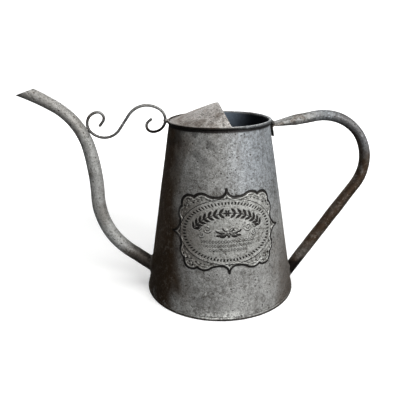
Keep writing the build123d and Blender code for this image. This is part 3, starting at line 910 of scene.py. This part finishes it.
def build_spout():
    columns, rows = 56, 250
    around = full_turn(columns)
    long = spout_route.length
    skins = []
    for shrink in (0.0, SPOUT_WALL):

        def shape(gone):
            return tube_point(spout_route, spout_sizes, gone, around, shrink)

        begin = crossing(columns, 0, SPOUT_ROOT_WITHIN, lambda gone: past_wall(shape(gone)) + 0.35)
        end = crossing(columns, long - SPOUT_TIP_WITHIN, long, lambda gone: past_cut(shape(gone)))
        share = np.linspace(0, 1, rows)[:, None]
        gone = begin[None] * (1 - share) + end[None] * share
        points = tube_point(spout_route, spout_sizes, gone, around[None] + 0 * gone, shrink)
        hold = np.minimum(1, np.minimum(share, 1 - share) * 12)
        points = points + (
            dent(points, centres_of(spout_route, gone), 0.16, 17, 101.0) - points
        ) * hold[..., None]
        skins.append(points)
    lip = skins[0][-1] * 0.5 + skins[1][-1] * 0.5
    tip_out = spout_route.at(long)[1]
    lip = lip + 0.18 * np.array([cos(tip_out), 0, sin(tip_out)])
    points = np.concatenate([skins[0], lip[None], skins[1][::-1]])
    return make_piece("spout_piece", points, grid_faces(len(points), columns, wrap_rows=True), 70)


# ---- Handle ----
fold = Route(HANDLE_START, HANDLE_START_HEADING + 180, [0.2, HANDLE_FOLD, TAB_LENGTH])
handle_route = Route(
    fold.end,
    fold.end_heading + 180,
    [TAB_LENGTH, (HANDLE_FOLD[0], -HANDLE_FOLD[1]), 0.2, HANDLE_TOP_LENGTH, HANDLE_BEND, HANDLE_RUN_LENGTH],
)
TOP_AT = fold.length
BEND_AT = TOP_AT + HANDLE_TOP_LENGTH
BEND_ON = handle_route.length - BEND_AT
handle_sizes = section_table(
    [
        (0, 1.9, 15.6, 4.0),
        (2.5, 2.0, 17.0, 4.0),
        (TOP_AT - 3.5, 2.0, 17.2, 4.0),
        (TOP_AT, 2.6, 18.2, 3.0),
        (TOP_AT + 3, 4.2, 18.6, 2.3),
        (TOP_AT + 0.22 * HANDLE_TOP_LENGTH, 7.2, 17.2, 2.0),
        (TOP_AT + 0.52 * HANDLE_TOP_LENGTH, 11.0, 14.6, 2.0),
        (BEND_AT, 11.2, 13.8, 2.0),
        (BEND_AT + 0.25 * BEND_ON, 10.4, 14.4, 2.0),
        (BEND_AT + 0.60 * BEND_ON, 12.4, 13.0, 2.0),
        (handle_route.length, 12.6, 12.6, 2.0),
    ],
    1.6,
)


def build_handle():
    columns, rows = 64, 330
    around = full_turn(columns)

    def outside(gone):
        return -(past_wall(tube_point(handle_route, handle_sizes, gone, around)) + 0.3)

    end = crossing(columns, handle_route.length - HANDLE_FOOT_WITHIN, handle_route.length, outside)
    dense = np.concatenate([np.linspace(0, 0.085, 60)[:-1], np.linspace(0.085, 1, rows - 59)])[:, None]
    gone = end[None] * dense
    points = tube_point(handle_route, handle_sizes, gone, around[None] + 0 * gone)
    hold = ease(gone, TOP_AT + 4, TOP_AT + 20) * ease(dense, 1.0, 0.95)
    centres = centres_of(handle_route, gone)
    points = points + (dent(points, centres, 0.28, 19, 120.0) - points) * hold[..., None]
    tip = ease(gone, 1.2, 0.0)
    points = points + (centres - points) * (0.35 * tip**2)[..., None]
    flat, faces = capped_grid(points)

    # the flattened foot that lies on the wall under the tube's end
    width, low, high, thick = 11.0, 3.9, 15.0, 1.6
    up = np.linspace(0, 1, 14)[:, None]
    turn = full_turn(44)[None]
    c, s = np.cos(turn), np.sin(turn)
    across = np.sign(c) * np.abs(c) ** 0.45 * width / 2 * (0.70 + 0.30 * np.sqrt(1 - (1 - up) ** 2))
    out = (np.sign(s) * np.abs(s) ** 0.6 * 0.5 + 0.35) * thick * (0.75 + 0.35 * up)
    height = low + (high - low) * up + 0 * turn
    radius = wall_radius(height) + out
    tongue_flat, tongue_faces = capped_grid(turned(across / radius, radius, height))
    shifted = [[index + len(flat) for index in face] for face in tongue_faces]
    return make_piece("handle_piece", np.concatenate([flat, tongue_flat]), faces + shifted, 55)


# ---- Scroll brace ----
def build_scroll():
    route = Route(SCROLL_START, SCROLL_START_HEADING, SCROLL_LEGS)
    gone = np.linspace(0, route.length, 620)
    centres = centres_of(route, gone)
    _, headings = route.at(gone)
    around = full_turn(20)[None]
    ends = np.minimum(gone, route.length - gone)
    round_end = np.sqrt(np.clip(1 - (1 - np.clip(ends / SCROLL_WIRE_RADIUS, 0, 1)) ** 2, 0.02, 1))
    radius = (SCROLL_WIRE_RADIUS * round_end)[:, None]
    normal = np.stack([-np.sin(headings), 0 * headings, np.cos(headings)], -1)[:, None]
    side = np.array([0.0, 1.0, 0.0])
    outward = (radius * np.cos(around))[..., None] * side + (radius * np.sin(around))[..., None] * normal
    points = centres[:, None] + outward
    ripple = 0.07 * wander(points, 5, 140.0) + 0.05 * wander(points, 2, 141.0)
    outward /= np.linalg.norm(outward, axis=-1, keepdims=True) + 1e-9
    points = points + outward * (ripple * round_end[:, None])[..., None]
    return make_piece("scroll_piece", *capped_grid(points))


# ---- Plaque: relief on a flat shield, then rolled on the wall ----
def leaf(u, v, at, length, width, angle):
    """0 outside a pointed leaf to 1 on its rib; angle in degrees from +u."""
    c, s = cos(radians(angle)), sin(radians(angle))
    x = (u - at[0]) * c + (v - at[1]) * s
    y = -(u - at[0]) * s + (v - at[1]) * c
    share = np.clip(np.abs(x) / (length / 2), 0, 1)
    half = width / 2 * (1 - share**1.8)
    return np.where(share < 1, np.clip(1 - np.abs(y) / np.maximum(half, 1e-6), 0, 1), 0)


def rosette(u, v, at, radius, petals, turn=0.0):
    """0 outside a flower to 1 at its petals' tops, with a hollow round the centre button."""
    x, y = u - at[0], v - at[1]
    reach, angle = np.hypot(x, y) / radius, np.arctan2(y, x) + turn
    lobe = np.abs(np.cos(petals * angle / 2))
    petal = ease(0.55 + 0.45 * lobe - reach, 0.0, 0.22) * (0.35 + 0.65 * lobe)
    return np.where(reach < 0.27, 1.0, petal * ease(reach, 0.25, 0.42))


def line(u, v, points, width):
    """1 on a polyline to 0 at half its width away."""
    best = np.full(u.shape, 1e9)
    points = np.asarray(points, float)
    for a, b in zip(points[:-1], points[1:]):
        run = b - a
        share = np.clip(((u - a[0]) * run[0] + (v - a[1]) * run[1]) / (run @ run), 0, 1)
        best = np.minimum(best, np.hypot(u - a[0] - share * run[0], v - a[1] - share * run[1]))
    return np.clip(1 - best / (width / 2), 0, 1)


def spiral(at, radius, turns, start, flip=1.0):
    """Points of a spiral that winds in to a centre."""
    share = np.linspace(0, 1, 26)
    angle = radians(start) + flip * 2 * pi * turns * share
    reach = radius * (1 - 0.88 * share)
    return np.stack([at[0] + reach * np.cos(angle), at[1] + reach * np.sin(angle)], -1)


def off_oval(u, v, a, b):
    """Distance outward from an oval, near it."""
    share = np.hypot(u / a, v / b)
    return (share - 1) * np.hypot(u, v) / np.maximum(share, 1e-6)


CORNER_LEAVES = [
    ((34.3, 32.4), 6.6, 2.8, 150),
    ((28.4, 34.0), 6.0, 2.5, 192),
    ((22.6, 34.4), 4.8, 1.9, 172),
    ((31.2, 31.4), 4.4, 2.0, 140),
    ((45.2, 24.4), 6.4, 2.8, -62),
    ((47.4, 18.7), 5.6, 2.3, -82),
    ((48.8, 13.2), 4.2, 1.7, -96),
    ((43.6, 20.4), 4.2, 1.9, -50),
    ((37.2, 34.4), 4.4, 2.2, 62),
    ((44.9, 30.4), 4.6, 2.3, 18),
    ((36.2, 29.6), 3.6, 1.8, 205),
    ((41.4, 24.8), 3.6, 1.8, 250),
]
CORNER_HOLES = [
    ((24.6, 32.4), 0.9),
    ((28.6, 31.4), 1.0),
    ((33.6, 30.0), 1.2),
    ((37.4, 33.2), 1.3),
    ((41.6, 34.6), 1.2),
    ((45.6, 31.8), 1.2),
    ((43.6, 26.6), 1.3),
    ((47.0, 22.2), 1.1),
    ((46.4, 15.6), 1.0),
    ((39.0, 26.6), 1.2),
    ((31.6, 35.6), 0.9),
    ((50.0, 17.6), 0.8),
]
SPRIG_LEAVES = [
    ((6.4, 0.6), 6.8, 4.2, 8),
    ((5.2, -2.8), 6.4, 3.6, -16),
    ((10.6, 1.8), 4.6, 2.8, 24),
    ((10.0, -2.2), 4.4, 2.4, -4),
    ((3.8, 3.4), 5.0, 3.4, 48),
]


def corner_spray(au, av, grow):
    """Rosette and leaves of one corner, each grown all round by a distance."""
    spray = rosette(au, av, (40.6, 29.3), 4.2 + grow, 5, 0.4)
    for at, length, width, angle in CORNER_LEAVES:
        spray = np.maximum(spray, leaf(au, av, at, length + 2 * grow, width + 2 * grow, angle))
    return spray


def sprig_at(u, v, grow):
    """The centre's flower between leaves, grown all round by a distance."""
    sprig = rosette(u, v, (0.5, 0.0), 4.6 + grow, 5, 0.3)
    for flip in (-1, 1):
        for at, length, width, angle in SPRIG_LEAVES:
            sprig = np.maximum(sprig, leaf(flip * (u - 0.5), v, at, length + 2 * grow, width + 2 * grow, angle))
    return sprig


def relief(u, v, to_edge):
    """Height in mm over the plaque's face, and how dark each point is filled: soiling in its hollows, with painted
    shade under raised parts and along the outline.
    """
    rise, fill = np.zeros(u.shape), np.zeros(u.shape)

    def stamp(mask, height, dirt):
        nonlocal rise, fill
        rise = rise + height * mask
        fill = np.maximum(fill, dirt * mask)

    au, av = np.abs(u), np.abs(v)
    band = off_oval(u, v, *PLAQUE_OVAL)
    stamp(ease(band, 0.7, 1.4) * ease(to_edge, 2.2, 3.0), -0.34, 0.06)
    stamp(ease(to_edge, 3.0, 2.4) * ease(to_edge, 1.2, 1.8), 0.34, 0)
    # Painted shadow and soiling in a dark band along the outline.
    stamp(outline_dirt(u, v) * ease(to_edge, 1.5, 0.9), 0, 1)
    stamp(ease(np.abs(to_edge - 3.3), 0.6, 0.15) * ease(band, -1.5, -0.5), -0.15, 0.6)
    stamp(ease(np.abs(band + 0.9), 0.75, 0.25), 0.22, 0)
    stamp(ease(np.abs(band), 0.55, 0.2), -0.25, 0.85)

    # ring of short slots
    a, b = SLOT_OVAL
    fine = np.linspace(0, 2 * pi, 1441)
    arc = np.concatenate([[0], np.cumsum(np.hypot(np.diff(a * np.cos(fine)), np.diff(b * np.sin(fine))))])
    around = np.interp(np.arctan2(v / b, u / a) % (2 * pi), fine, arc) / arc[-1] * SLOT_COUNT
    pitch = arc[-1] / SLOT_COUNT
    beside = np.abs(around % 1 - 0.5) * pitch
    reach = 1.5 + 0.5 * au / np.maximum(np.hypot(u, v), 1e-6)
    slot = ease(beside, 1.0, 0.5) * ease(np.abs(off_oval(u, v, a, b)), reach, reach - 0.55)
    stamp(slot, -0.42, 0.80 + 0.15 * ease(v, -10, 20))

    # corner sprays: raised, with a dark cut all round
    inside_corner = ease(band, 0.6, 1.2) * ease(to_edge, 2.0, 2.6)
    leaves = corner_spray(au, av, 0.0)
    spray = ease(leaves, 0.02, 0.35) * inside_corner
    cut = ease(corner_spray(au, av, 0.5), 0.02, 0.3) * inside_corner * (1 - spray)
    rise += 0.55 * spray - 0.10 * cut
    fill = np.maximum(fill * (1 - 0.9 * spray), 0.38 * cut)
    for spot, size in CORNER_HOLES:
        stamp(ease(np.hypot(au - spot[0], av - spot[1]), size, size * 0.45) * inside_corner, -0.25, 0.92)
    stamp(ease(leaves, 0.86, 0.97) * inside_corner, 0, 0.5)
    tips = np.maximum(leaf(au, av, (54.6, 0), 6.0, 2.2, 0), leaf(au, av, (0, 38.0), 4.0, 2.0, 90))
    stamp(ease(tips, 0.05, 0.6), 0.35, 0)

    # leaf garland along the upper arc, with a flower at its middle
    arc_wide, arc_tall, arc_low, leaf_pairs = 36.5, 22.6, -3.8, 15
    stem_turn = np.radians(np.linspace(26, 154, 40))
    stem = np.stack([arc_wide * np.cos(stem_turn), arc_low + arc_tall * np.sin(stem_turn)], -1)
    garland = line(u, v, stem, 1.1)
    for index in range(leaf_pairs):
        lean = index / (leaf_pairs // 2) - 1.0
        angle = radians(90 - lean * 64)
        at = np.array([arc_wide * cos(angle), arc_low + arc_tall * sin(angle)])
        if lean == 0:
            garland = np.maximum(garland, rosette(u, v, at, 4.0, 6))
            continue
        slope = np.arctan2(-arc_tall * cos(angle), arc_wide * sin(angle))
        side = 1 if lean < 0 else -1
        for flip in (-1, 1):
            spot = at + np.array([-sin(slope), cos(slope)]) * 2.5 * flip
            blade = leaf(u, v, spot, 7.7, 3.3, degrees(slope) + side * flip * 42)
            garland = np.maximum(garland, blade**0.7)
    stamp(ease(garland, 0.05, 0.45), -0.34, 0)
    stamp(ease(garland, 0.10, 0.42), 0, 0.96)

    # centre sprig: raised, darkest under its leaves from a painted shadow, with painted shade over its lower half
    # too
    flower = sprig_at(u, v, 0.0)
    sprig = ease(flower, 0.05, 0.5)
    under = ease(sprig_at(u, v + 0.9, 0.6), 0.02, 0.3) * (1 - sprig)
    crease = ease(np.abs(flower - 0.55), 0.16, 0.05) * sprig
    rise += 0.34 * sprig - 0.12 * under - 0.10 * crease
    lower = 0.12 + 0.55 * ease(v, 0.5, -4.5)
    fill = most(fill, 0.96 * under, lower * sprig, 0.85 * crease)

    # side scrolls and low rows of beads
    for flip in (-1, 1):
        for points in (
            spiral((20.4, 4.4), 4.2, 1.5, 200),
            spiral((26.0, -1.6), 3.2, 1.4, 60, -1),
            spiral((28.6, 5.4), 2.4, 1.2, 140),
        ):
            curl = ease(line(flip * u, v, points, 1.1), 0.0, 0.5)
            stamp(curl, 0.24, 0)
            # Painted shadow just below each scroll line.
            stamp(ease(line(flip * u, v + 0.5, points, 2.4), 0.0, 0.6) * (1 - curl), 0, 0.66)
    for level, half, gap, size in ((-8.6, 27.5, 3.0, 1.0), (-12.9, 25.5, 2.6, 0.85), (-17.2, 19.0, 3.0, 0.95)):
        bow = level - 0.0013 * (27**2 - u**2)
        nearest = np.abs((u / gap + 0.5) % 1 - 0.5) * gap
        reach = np.hypot(nearest, (v - bow) * 0.8)
        dot = ease(reach, size, size * 0.35) * (au < half)
        stamp(dot, 0.15, 0)
        stamp(ease(reach, size + 0.6, size) * (1 - dot) * (au < half), 0, 0.62)
    return rise, fill


def build_plaque():
    angle = np.arctan2(QUARTER[:, 1], QUARTER[:, 0])
    reach = np.hypot(QUARTER[:, 0], QUARTER[:, 1])
    order = np.argsort(angle)
    columns, rows = 880, 92
    turn = full_turn(columns)
    folded = np.arctan2(np.abs(np.sin(turn)), np.abs(np.cos(turn)))
    edge = np.interp(folded, angle[order], reach[order])
    shares = np.concatenate([np.linspace(0.02, 0.86, rows - 20)[:-1], np.linspace(0.86, 1, 21)])[:, None]
    u = shares * edge * np.cos(turn)
    v = shares * edge * np.sin(turn)
    to_edge = from_outline(u, v)
    to_edge[-1] = 0
    rise, fill = relief(u, v, to_edge)
    flat = np.stack([u, v, 0 * u], -1)
    rise = rise + 0.06 * wander(flat, 4, 160.0) + 0.10 * wander(flat, 16, 161.0)
    rise = rise - 0.45 * ease(to_edge, 1.2, 0.0)
    back_shares = np.array([1.0, 0.995, 0.6, 0.02])[:, None]
    back_u, back_v = back_shares * edge * np.cos(turn), back_shares * edge * np.sin(turn)
    back_rise = np.array([-0.62, -0.69, -0.7, -0.7])[:, None] + 0 * back_u
    u, v, rise = np.concatenate([u, back_u]), np.concatenate([v, back_v]), np.concatenate([rise, back_rise])
    # Painted shade: the plaque's edge and back are filled fully dark.
    fill = np.concatenate([fill, np.ones(back_u.shape)])

    tilted_u = u * cos(PLAQUE_TILT) - v * sin(PLAQUE_TILT)
    tilted_v = u * sin(PLAQUE_TILT) + v * cos(PLAQUE_TILT)
    apex = (wall_radius(PLAQUE_HEIGHT) + (PLAQUE_GAP + PLAQUE_SHEET) / cos(WALL_ANGLE)) / sin(WALL_ANGLE)
    slant = np.hypot(tilted_u, apex - tilted_v)
    around = np.arctan2(tilted_u, apex - tilted_v) / sin(WALL_ANGLE) + PLAQUE_TURN
    height = PLAQUE_HEIGHT + (apex - slant) * cos(WALL_ANGLE) + rise * sin(WALL_ANGLE)
    radius = slant * sin(WALL_ANGLE) + rise * cos(WALL_ANGLE)
    points = np.stack([radius * np.sin(around), -radius * np.cos(around), height], -1)
    total = len(points)
    faces = grid_faces(total, columns)
    faces.append(list(range(columns)))
    faces.append(list(range((total - 1) * columns, total * columns)))
    piece = make_piece("plaque_piece", points, faces, 75)
    ragged = 6 * wander(np.stack([u, v, 0 * u], -1), 14, 170.0)
    paint(
        piece,
        grime=fill.ravel(),
        # Brown on the left side: partly patina, partly painted shade, as on the can's spout side.
        stain=0.62 * ease((u + ragged).ravel(), 6, -58),
        wear=0.75 * ease(rise.ravel(), 0.10, 0.30),
    )
    return piece


# ---- Materials in use ----
body_zinc = zinc("body_zinc")
hood_zinc = zinc(
    "hood_zinc", light=(0.38, 0.355, 0.33), middle=(0.165, 0.148, 0.133), mottle=1.6, shift=0.31, specks=0.8
)
spout_zinc = zinc("spout_zinc", light=(0.47, 0.47, 0.455), middle=(0.295, 0.295, 0.282), shift=0.57, streaks=0.1)
handle_zinc = zinc(
    "handle_zinc",
    light=(0.30, 0.298, 0.288),
    middle=(0.155, 0.153, 0.146),
    stain=(0.046, 0.029, 0.018),
    shift=0.83,
    specks=1.0,
)
plaque_zinc = zinc(
    "plaque_zinc", light=(0.47, 0.47, 0.45), middle=(0.29, 0.29, 0.272), shift=1.1, mottle=1.15, streaks=0.1
)
base_zinc = zinc("base_zinc", shift=1.4)
scroll_zinc = zinc("scroll_zinc", light=(0.15, 0.15, 0.147), middle=(0.082, 0.080, 0.077), shift=1.7, streaks=0.0)
lead = solder_metal("solder_skin")
wire_steel = steel_wire("wire_steel")

# ---- Pieces ----
def place_solder(label, points, faces=None, wrap_rows=False, **layers):
    """Makes, paints and places one piece of solder from its rings of points."""
    if faces is None:
        faces = grid_faces(*points.shape[:2], wrap_rows=wrap_rows)
    piece = make_piece(label + "_piece", points, faces)
    paint(piece, **layers)
    place(piece, lead, "solder", label)


wall = build_wall()
paint(
    wall,
    stain=wall_stain,
    grime=wall_grime,
    wear=wall_wear,
    inside=wall_inside,
    cool=wall_cool,
    flake=front_flakes,
)
place(wall, body_zinc, "body_zinc", "body_wall")


def base_grime(p, x, y, z):
    """Darker in the recess; a painted shadow line where the hem meets the ground, thicker at the front."""
    out, up = np.hypot(x, y), z + 0.5 * wander(p, 9, 75.0)
    recess = 0.3 * ease(out, 82, 60) * (z < 5.4)
    ground_line = 0.8 * ease(up, 1.7, 0.7) * (out > 80)
    front_line = ease(up, 2.6, 1.9) * ease(np.abs(x), 16, 9) * (y < -80)
    return most(recess, ground_line, front_line)


base = build_base()
paint(
    base,
    grime=base_grime,
    flake=lambda p, x, y, z: front_flakes(p, x, y, z) * ease(z, 2.2, 2.8),
    # Painted shadow at the very bottom of the hem.
    stain=lambda p, x, y, z: np.maximum(wall_stain(p, x, y, z), 0.9 * ease(z, 1.9, 0.6)),
    # Painted highlight on the top of the hem.
    wear=lambda p, x, y, z: 0.35 * ease(z, HEM_HEIGHT - 1.0, HEM_HEIGHT) * (np.hypot(x, y) > 82),
    # Painted shade on the floor inside the can.
    inside=lambda p, x, y, z: 0.45 * ease(z, 5.3, 5.6) * (np.hypot(x, y) < 83),
)
place(base, base_zinc, "base_zinc", "base_pan")

seal_top = BASE_RECESS + BASE_SHEET
seal_line = turned(full_turn(220), wall_radius(seal_top) - BODY_SHEET - 0.7, seal_top + 0.6)
seal_points = bead_along(seal_line, 0.95 + 0.25 * wander(seal_line, 7, 180.0), closed=True)
place_solder("base_seal", seal_points, wrap_rows=True, grime=0.4)


def hood_stain(p, x, y, z):
    """Brown towards the spout and in blots; painted shade on the slope that faces back and up."""
    toward_spout = 0.42 * ease(x, -14, -40)
    blots = 0.42 * ease(wander(p, 9, 190.0), 0.0, 0.4) * ease(z, 189, 193)
    back_slope = 0.30 * ease(facing(hood, (-0.35, 0.70, 0.62)), 0.62, 0.92)
    return toward_spout + blots + back_slope


def hood_wear(p, x, y, z):
    """A painted highlight along the free edge, and brighter low on the front slope."""
    free_edge = 0.5 * ease(x, -3.5, 0.5) * (z > 196)
    front_slope = 0.6 * ease(x, -10, 3) * ease(z, 202, 193) * ease(z, 189.8, 190.6)
    return np.maximum(free_edge, front_slope)


hood = build_hood()
paint(
    hood,
    stain=hood_stain,
    grime=lambda p, x, y, z: 0.6 * ease(z, 190.4, 189.4) * (y < 0),
    wear=hood_wear,
)
place(hood, hood_zinc, "hood_zinc", "splash_hood")

hood_bead_turns = np.radians(np.linspace(180 - HOOD_SOLDER_REACH, 180 + HOOD_SOLDER_REACH, 160))
hood_bead_line = turned(hood_bead_turns, HOOD_SOLDER_RADIUS, HOOD_SOLDER_HEIGHT)
taper = np.sqrt(np.clip(1 - np.abs(np.linspace(-1, 1, 160)) ** 10, 0.02, 1))
hood_bead_points = bead_along(hood_bead_line, (0.80 + 0.22 * wander(hood_bead_line, 5, 200.0)) * taper)
place_solder("hood_solder", *capped_grid(hood_bead_points), grime=0.35)


def spout_stain(p, x, y, z):
    """Brown at the root, over the top bend, at the cut tip and in blots."""
    root = 0.70 * ease(z + 5 * wander(p, 9, 209.0), 60, 36) * ease(x, -122, -98)
    top_bend = 0.30 * ease(z + 12 * wander(p, 16, 213.0), 166, 190)
    tip = 0.65 * ease(x + 4 * wander(p, 10, 210.0), -192, -204)
    blots = 0.34 * ease(wander(p, 20, 211.0), 0.10, 0.5)
    return most(root, top_bend, tip, blots)


def spout_grime(p, x, y, z):
    """Painted shade underneath, on the side away from the can, and darker near the root."""
    # Painted shade on the underside that faces away from the light.
    under = ease(facing(spout, (-0.75, 0.1, -0.65)), 0.70, 0.95)
    return (0.72 + 0.35 * wander(p, 8, 212.0)) * under + 0.45 * ease(x + 3 * wander(p, 6, 214.0), -114, -92)


spout = build_spout()
paint(
    spout,
    stain=spout_stain,
    wear=lambda p, x, y, z: 0.8 * ease(np.abs(past_cut(p)), 0.9, 0.2),
    grime=spout_grime,
)
place(spout, spout_zinc, "spout_zinc", "spout_tube")
spout_collar = collar(spout_route, spout_sizes, 0, SPOUT_ROOT_WITHIN, 2.6, 2.8, 220.0, forward=1)
place_solder("spout_solder", spout_collar, wrap_rows=True, stain=0.7, grime=0.25)


def handle_stain(p, x, y, z):
    """Rust from the bend down, patchy, thinner towards the foot; painted shade on the far part of the handle and on
    the inner side near the top.
    """
    loose = 10 * wander(p, 15, 230.0) + 5 * wander(p, 6, 231.0)
    # Painted shade, darker towards the far part of the handle.
    shaded = 0.34 * ease(x + 0.6 * loose, 104, 132)
    blots = 0.62 * ease(wander(p, 9, 236.0), -0.05, 0.25) * ease(x, 112, 92)
    # Painted shade on the inner side near the top.
    within = ease(facing(handle, (-0.95, -0.1, -0.35)), 0.50, 0.95) * ease(z, 205, 178) * ease(x, 95, 125)
    rusty = (0.98 + 0.30 * wander(p, 9, 234.0)) * ease(z + loose, 168, 138)
    foot = 1 - 0.30 * ease(z, 58, 40) * ease(z, 18, 30)
    return most(shaded, blots, 0.8 * within, rusty * foot)


def handle_wear(p, x, y, z):
    """Brighter metal on the flattened end and in small spots."""
    return np.maximum(0.40 * ease(z, 180, 190) * ease(x, 120, 80), 0.22 * ease(wander(p, 8, 232.0), 0.2, 0.5))


def handle_grime(p, x, y, z):
    """Painted shadow on the folded tab under the flattened end; darker round the bend and along the run; painted
    shade on the underside and at the foot by the wall; and dirty blots.
    """
    # Painted shadow on the tab under the flattened end and the rolled rim.
    tab = 0.62 * ease(x, 60.5, 58.0) * ease(z, 183, 178)
    blots = 0.25 * ease(wander(p, 9, 233.0), 0.30, 0.6)
    bend = 0.16 * ease(x, 108, 134) * ease(z, 178, 158)
    # Painted shade on the underside.
    under = 0.60 * ease(facing(handle, (-0.5, 0.0, -0.85)), 0.72, 0.96) * ease(x, 70, 95)
    run = 0.16 * ease(z, 150, 120) * ease(z, 50, 76)
    # Painted shade at the foot, where the tube meets the wall.
    foot = 0.85 * ease(z + 4 * wander(p, 7, 237.0), 33, 20)
    return most(tab, blots, bend, under, run, foot)


handle = build_handle()
paint(
    handle,
    stain=handle_stain,
    wear=handle_wear,
    grime=handle_grime,
    cool=lambda p, x, y, z: ease(x, 85, 110) * ease(z, 135, 165),
)
place(handle, handle_zinc, "handle_zinc", "handle_tube")
foot_from, foot_to = handle_route.length - HANDLE_FOOT_WITHIN, handle_route.length
foot_collar = collar(handle_route, handle_sizes, foot_from, foot_to, 1.9, 2.2, 240.0, forward=-1)
place_solder("handle_foot_solder", foot_collar, wrap_rows=True, stain=0.6, grime=0.4)
place_solder("handle_top_solder", blob(HANDLE_TOP_JOINT, (1.9, 7.6, 2.2), 250.0), grime=0.45, stain=0.4)


def scroll_stain(p, x, y, z):
    """Brown in blots, and painted shade in brown on the lower part of the curl by the rim."""
    return 0.35 * ease(wander(p, 12, 260.0), 0.0, 0.4) + 0.5 * ease(x, -82, -68) * ease(z, 187, 180)


scroll = build_scroll()
paint(
    scroll,
    stain=scroll_stain,
    # Painted shade on the lower part of the curl by the rim.
    grime=lambda p, x, y, z: 0.8 * ease(x, -82, -70) * ease(z, 188, 182),
    wear=lambda p, x, y, z: 0.5 * ease(z, 195, 202),
)
place(scroll, scroll_zinc, "scroll_wire", "scroll_brace")
place_solder("scroll_spout_solder", blob(SCROLL_SPOUT_JOINT, (2.3, 2.5, 2.9), 270.0), stain=0.35)
place_solder("scroll_rim_solder", blob(SCROLL_RIM_JOINT, (3.0, 2.5, 2.4), 280.0), stain=0.35)

plaque = build_plaque()
place(plaque, plaque_zinc, "plaque_zinc", "plaque")

for node_name, kept_material in (("rim_wire", wire_steel), ("plaque_solder", lead)):
    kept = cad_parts[node_name]
    kept.data.materials.clear()
    kept.data.materials.append(kept_material)

# ---- Stage, lights and camera ----
FLOOR_RADIUS, COVE_REACH, COVE_RADIUS, COVE_TOP = 700.0, 2600.0, 900.0, 2600.0
WHITE = (1.0, 1.0, 1.0, 1.0)

floor_surface = Surface("studio_paint")
floor_surface.colour = floor_surface.ramp(
    floor_surface.cloud(3, 3), (0.2, (0.80, 0.80, 0.79)), (0.8, (0.84, 0.84, 0.83))
)
floor_paint = floor_surface.finish(0.85, 0.0, [(floor_surface.cloud(220, 2), 0.0002, 0.2)])
floor_surface.feed(floor_surface.shader.inputs["Emission Color"], WHITE)
distance = floor_surface.node("VectorMath", {0: floor_surface.place}, operation="LENGTH").outputs["Value"]
glow = floor_surface.span(distance, 0.25, 0.95, 0.30, 1.05)
floor_surface.feed(floor_surface.shader.inputs["Emission Strength"], glow)

floor_level = cad_low.z / MM
cove = [(r, floor_level) for r in np.linspace(FLOOR_RADIUS, COVE_REACH, 12)]
cove += [
    (COVE_REACH + COVE_RADIUS * sin(a), floor_level + COVE_RADIUS * (1 - cos(a)))
    for a in np.linspace(0.1, pi / 2, 14)
]
cove_profile = np.array([*cove, (COVE_REACH + COVE_RADIUS, COVE_TOP)])
cove_points = turned(full_turn(96), cove_profile[:, :1], cove_profile[:, 1:])
studio_cove = make_piece("studio_cove", cove_points, grid_faces(*cove_points.shape[:2]))
disc_points = turned(full_turn(96), np.linspace(1, FLOOR_RADIUS, 20)[:, None], floor_level)
studio_floor = make_piece("studio_floor", disc_points, [*grid_faces(*disc_points.shape[:2]), list(range(96))])
for part in (studio_cove, studio_floor):
    part.data.materials.append(floor_paint)
    part.visible_diffuse = False
    part.visible_glossy = False
studio_cove.visible_shadow = False

TOWARD_KEY = (0.62, -0.42, 0.66)
AIR_AWAY, AIR_TOWARD = 0.05, 0.34

world = bpy.data.worlds.new("studio_air")
bpy.context.scene.world = world
world.use_nodes = True
air = world.node_tree.nodes
direction = air.new("ShaderNodeTexCoord")
toward_key = air.new("ShaderNodeVectorMath")
toward_key.operation = "DOT_PRODUCT"
toward_key.inputs[1].default_value = TOWARD_KEY
strength = air.new("ShaderNodeMapRange")
for socket, value in (("From Min", -1.0), ("From Max", 1.0), ("To Min", AIR_AWAY), ("To Max", AIR_TOWARD)):
    strength.inputs[socket].default_value = value
world.node_tree.links.new(direction.outputs["Generated"], toward_key.inputs[0])
world.node_tree.links.new(toward_key.outputs["Value"], strength.inputs["Value"])
world.node_tree.links.new(strength.outputs["Result"], air["Background"].inputs["Strength"])
air["Background"].inputs["Color"].default_value = (0.97, 0.98, 1.0, 1.0)


def area_light(name, place_at, aim, size, power):
    """A soft rectangular light at a place in metres, turned to its aim."""
    lamp = bpy.data.lights.new(name, "AREA")
    lamp.shape, lamp.size, lamp.size_y = "RECTANGLE", size[0], size[1]
    lamp.energy = power
    made = bpy.data.objects.new(name, lamp)
    bpy.context.scene.collection.objects.link(made)
    made.location = place_at
    made.rotation_euler = (Vector(aim) - Vector(place_at)).to_track_quat("-Z", "Y").to_euler()


area_light("key_right", (0.75, -0.95, 0.80), (0.0, 0.0, 0.10), (0.7, 0.7), 18.5)
area_light("overhead", (0.25, -0.05, 1.15), (0.0, 0.0, 0.0), (0.7, 0.6), 6.0)
area_light("front_soft", (-0.30, -1.25, 0.50), (0.0, 0.0, 0.10), (0.5, 0.5), 2.0)
area_light("back_fill", (-0.20, 1.20, 0.70), (0.0, 0.0, 0.10), (0.8, 0.6), 5.0)

SENSOR_WIDTH, LENS = 36.0, 40.2
CAMERA_PLACE = (-0.0408, -0.4663, 0.2667)
CAMERA_YAW, CAMERA_PITCH, CAMERA_ROLL = -2.37, -19.51, 1.06

camera_data = bpy.data.cameras.new("camera")
camera_data.sensor_width, camera_data.lens = SENSOR_WIDTH, LENS
camera = bpy.data.objects.new("camera", camera_data)
bpy.context.scene.collection.objects.link(camera)
camera.matrix_world = (
    Matrix.Translation(CAMERA_PLACE)
    @ Matrix.Rotation(radians(CAMERA_YAW), 4, "Z")
    @ Matrix.Rotation(radians(CAMERA_PITCH), 4, "X")
    @ Matrix.Rotation(radians(CAMERA_ROLL), 4, "Y")
    @ Matrix.Rotation(radians(90), 4, "X")
)
bpy.context.scene.camera = camera
bpy.context.scene.view_settings.view_transform = "Standard"
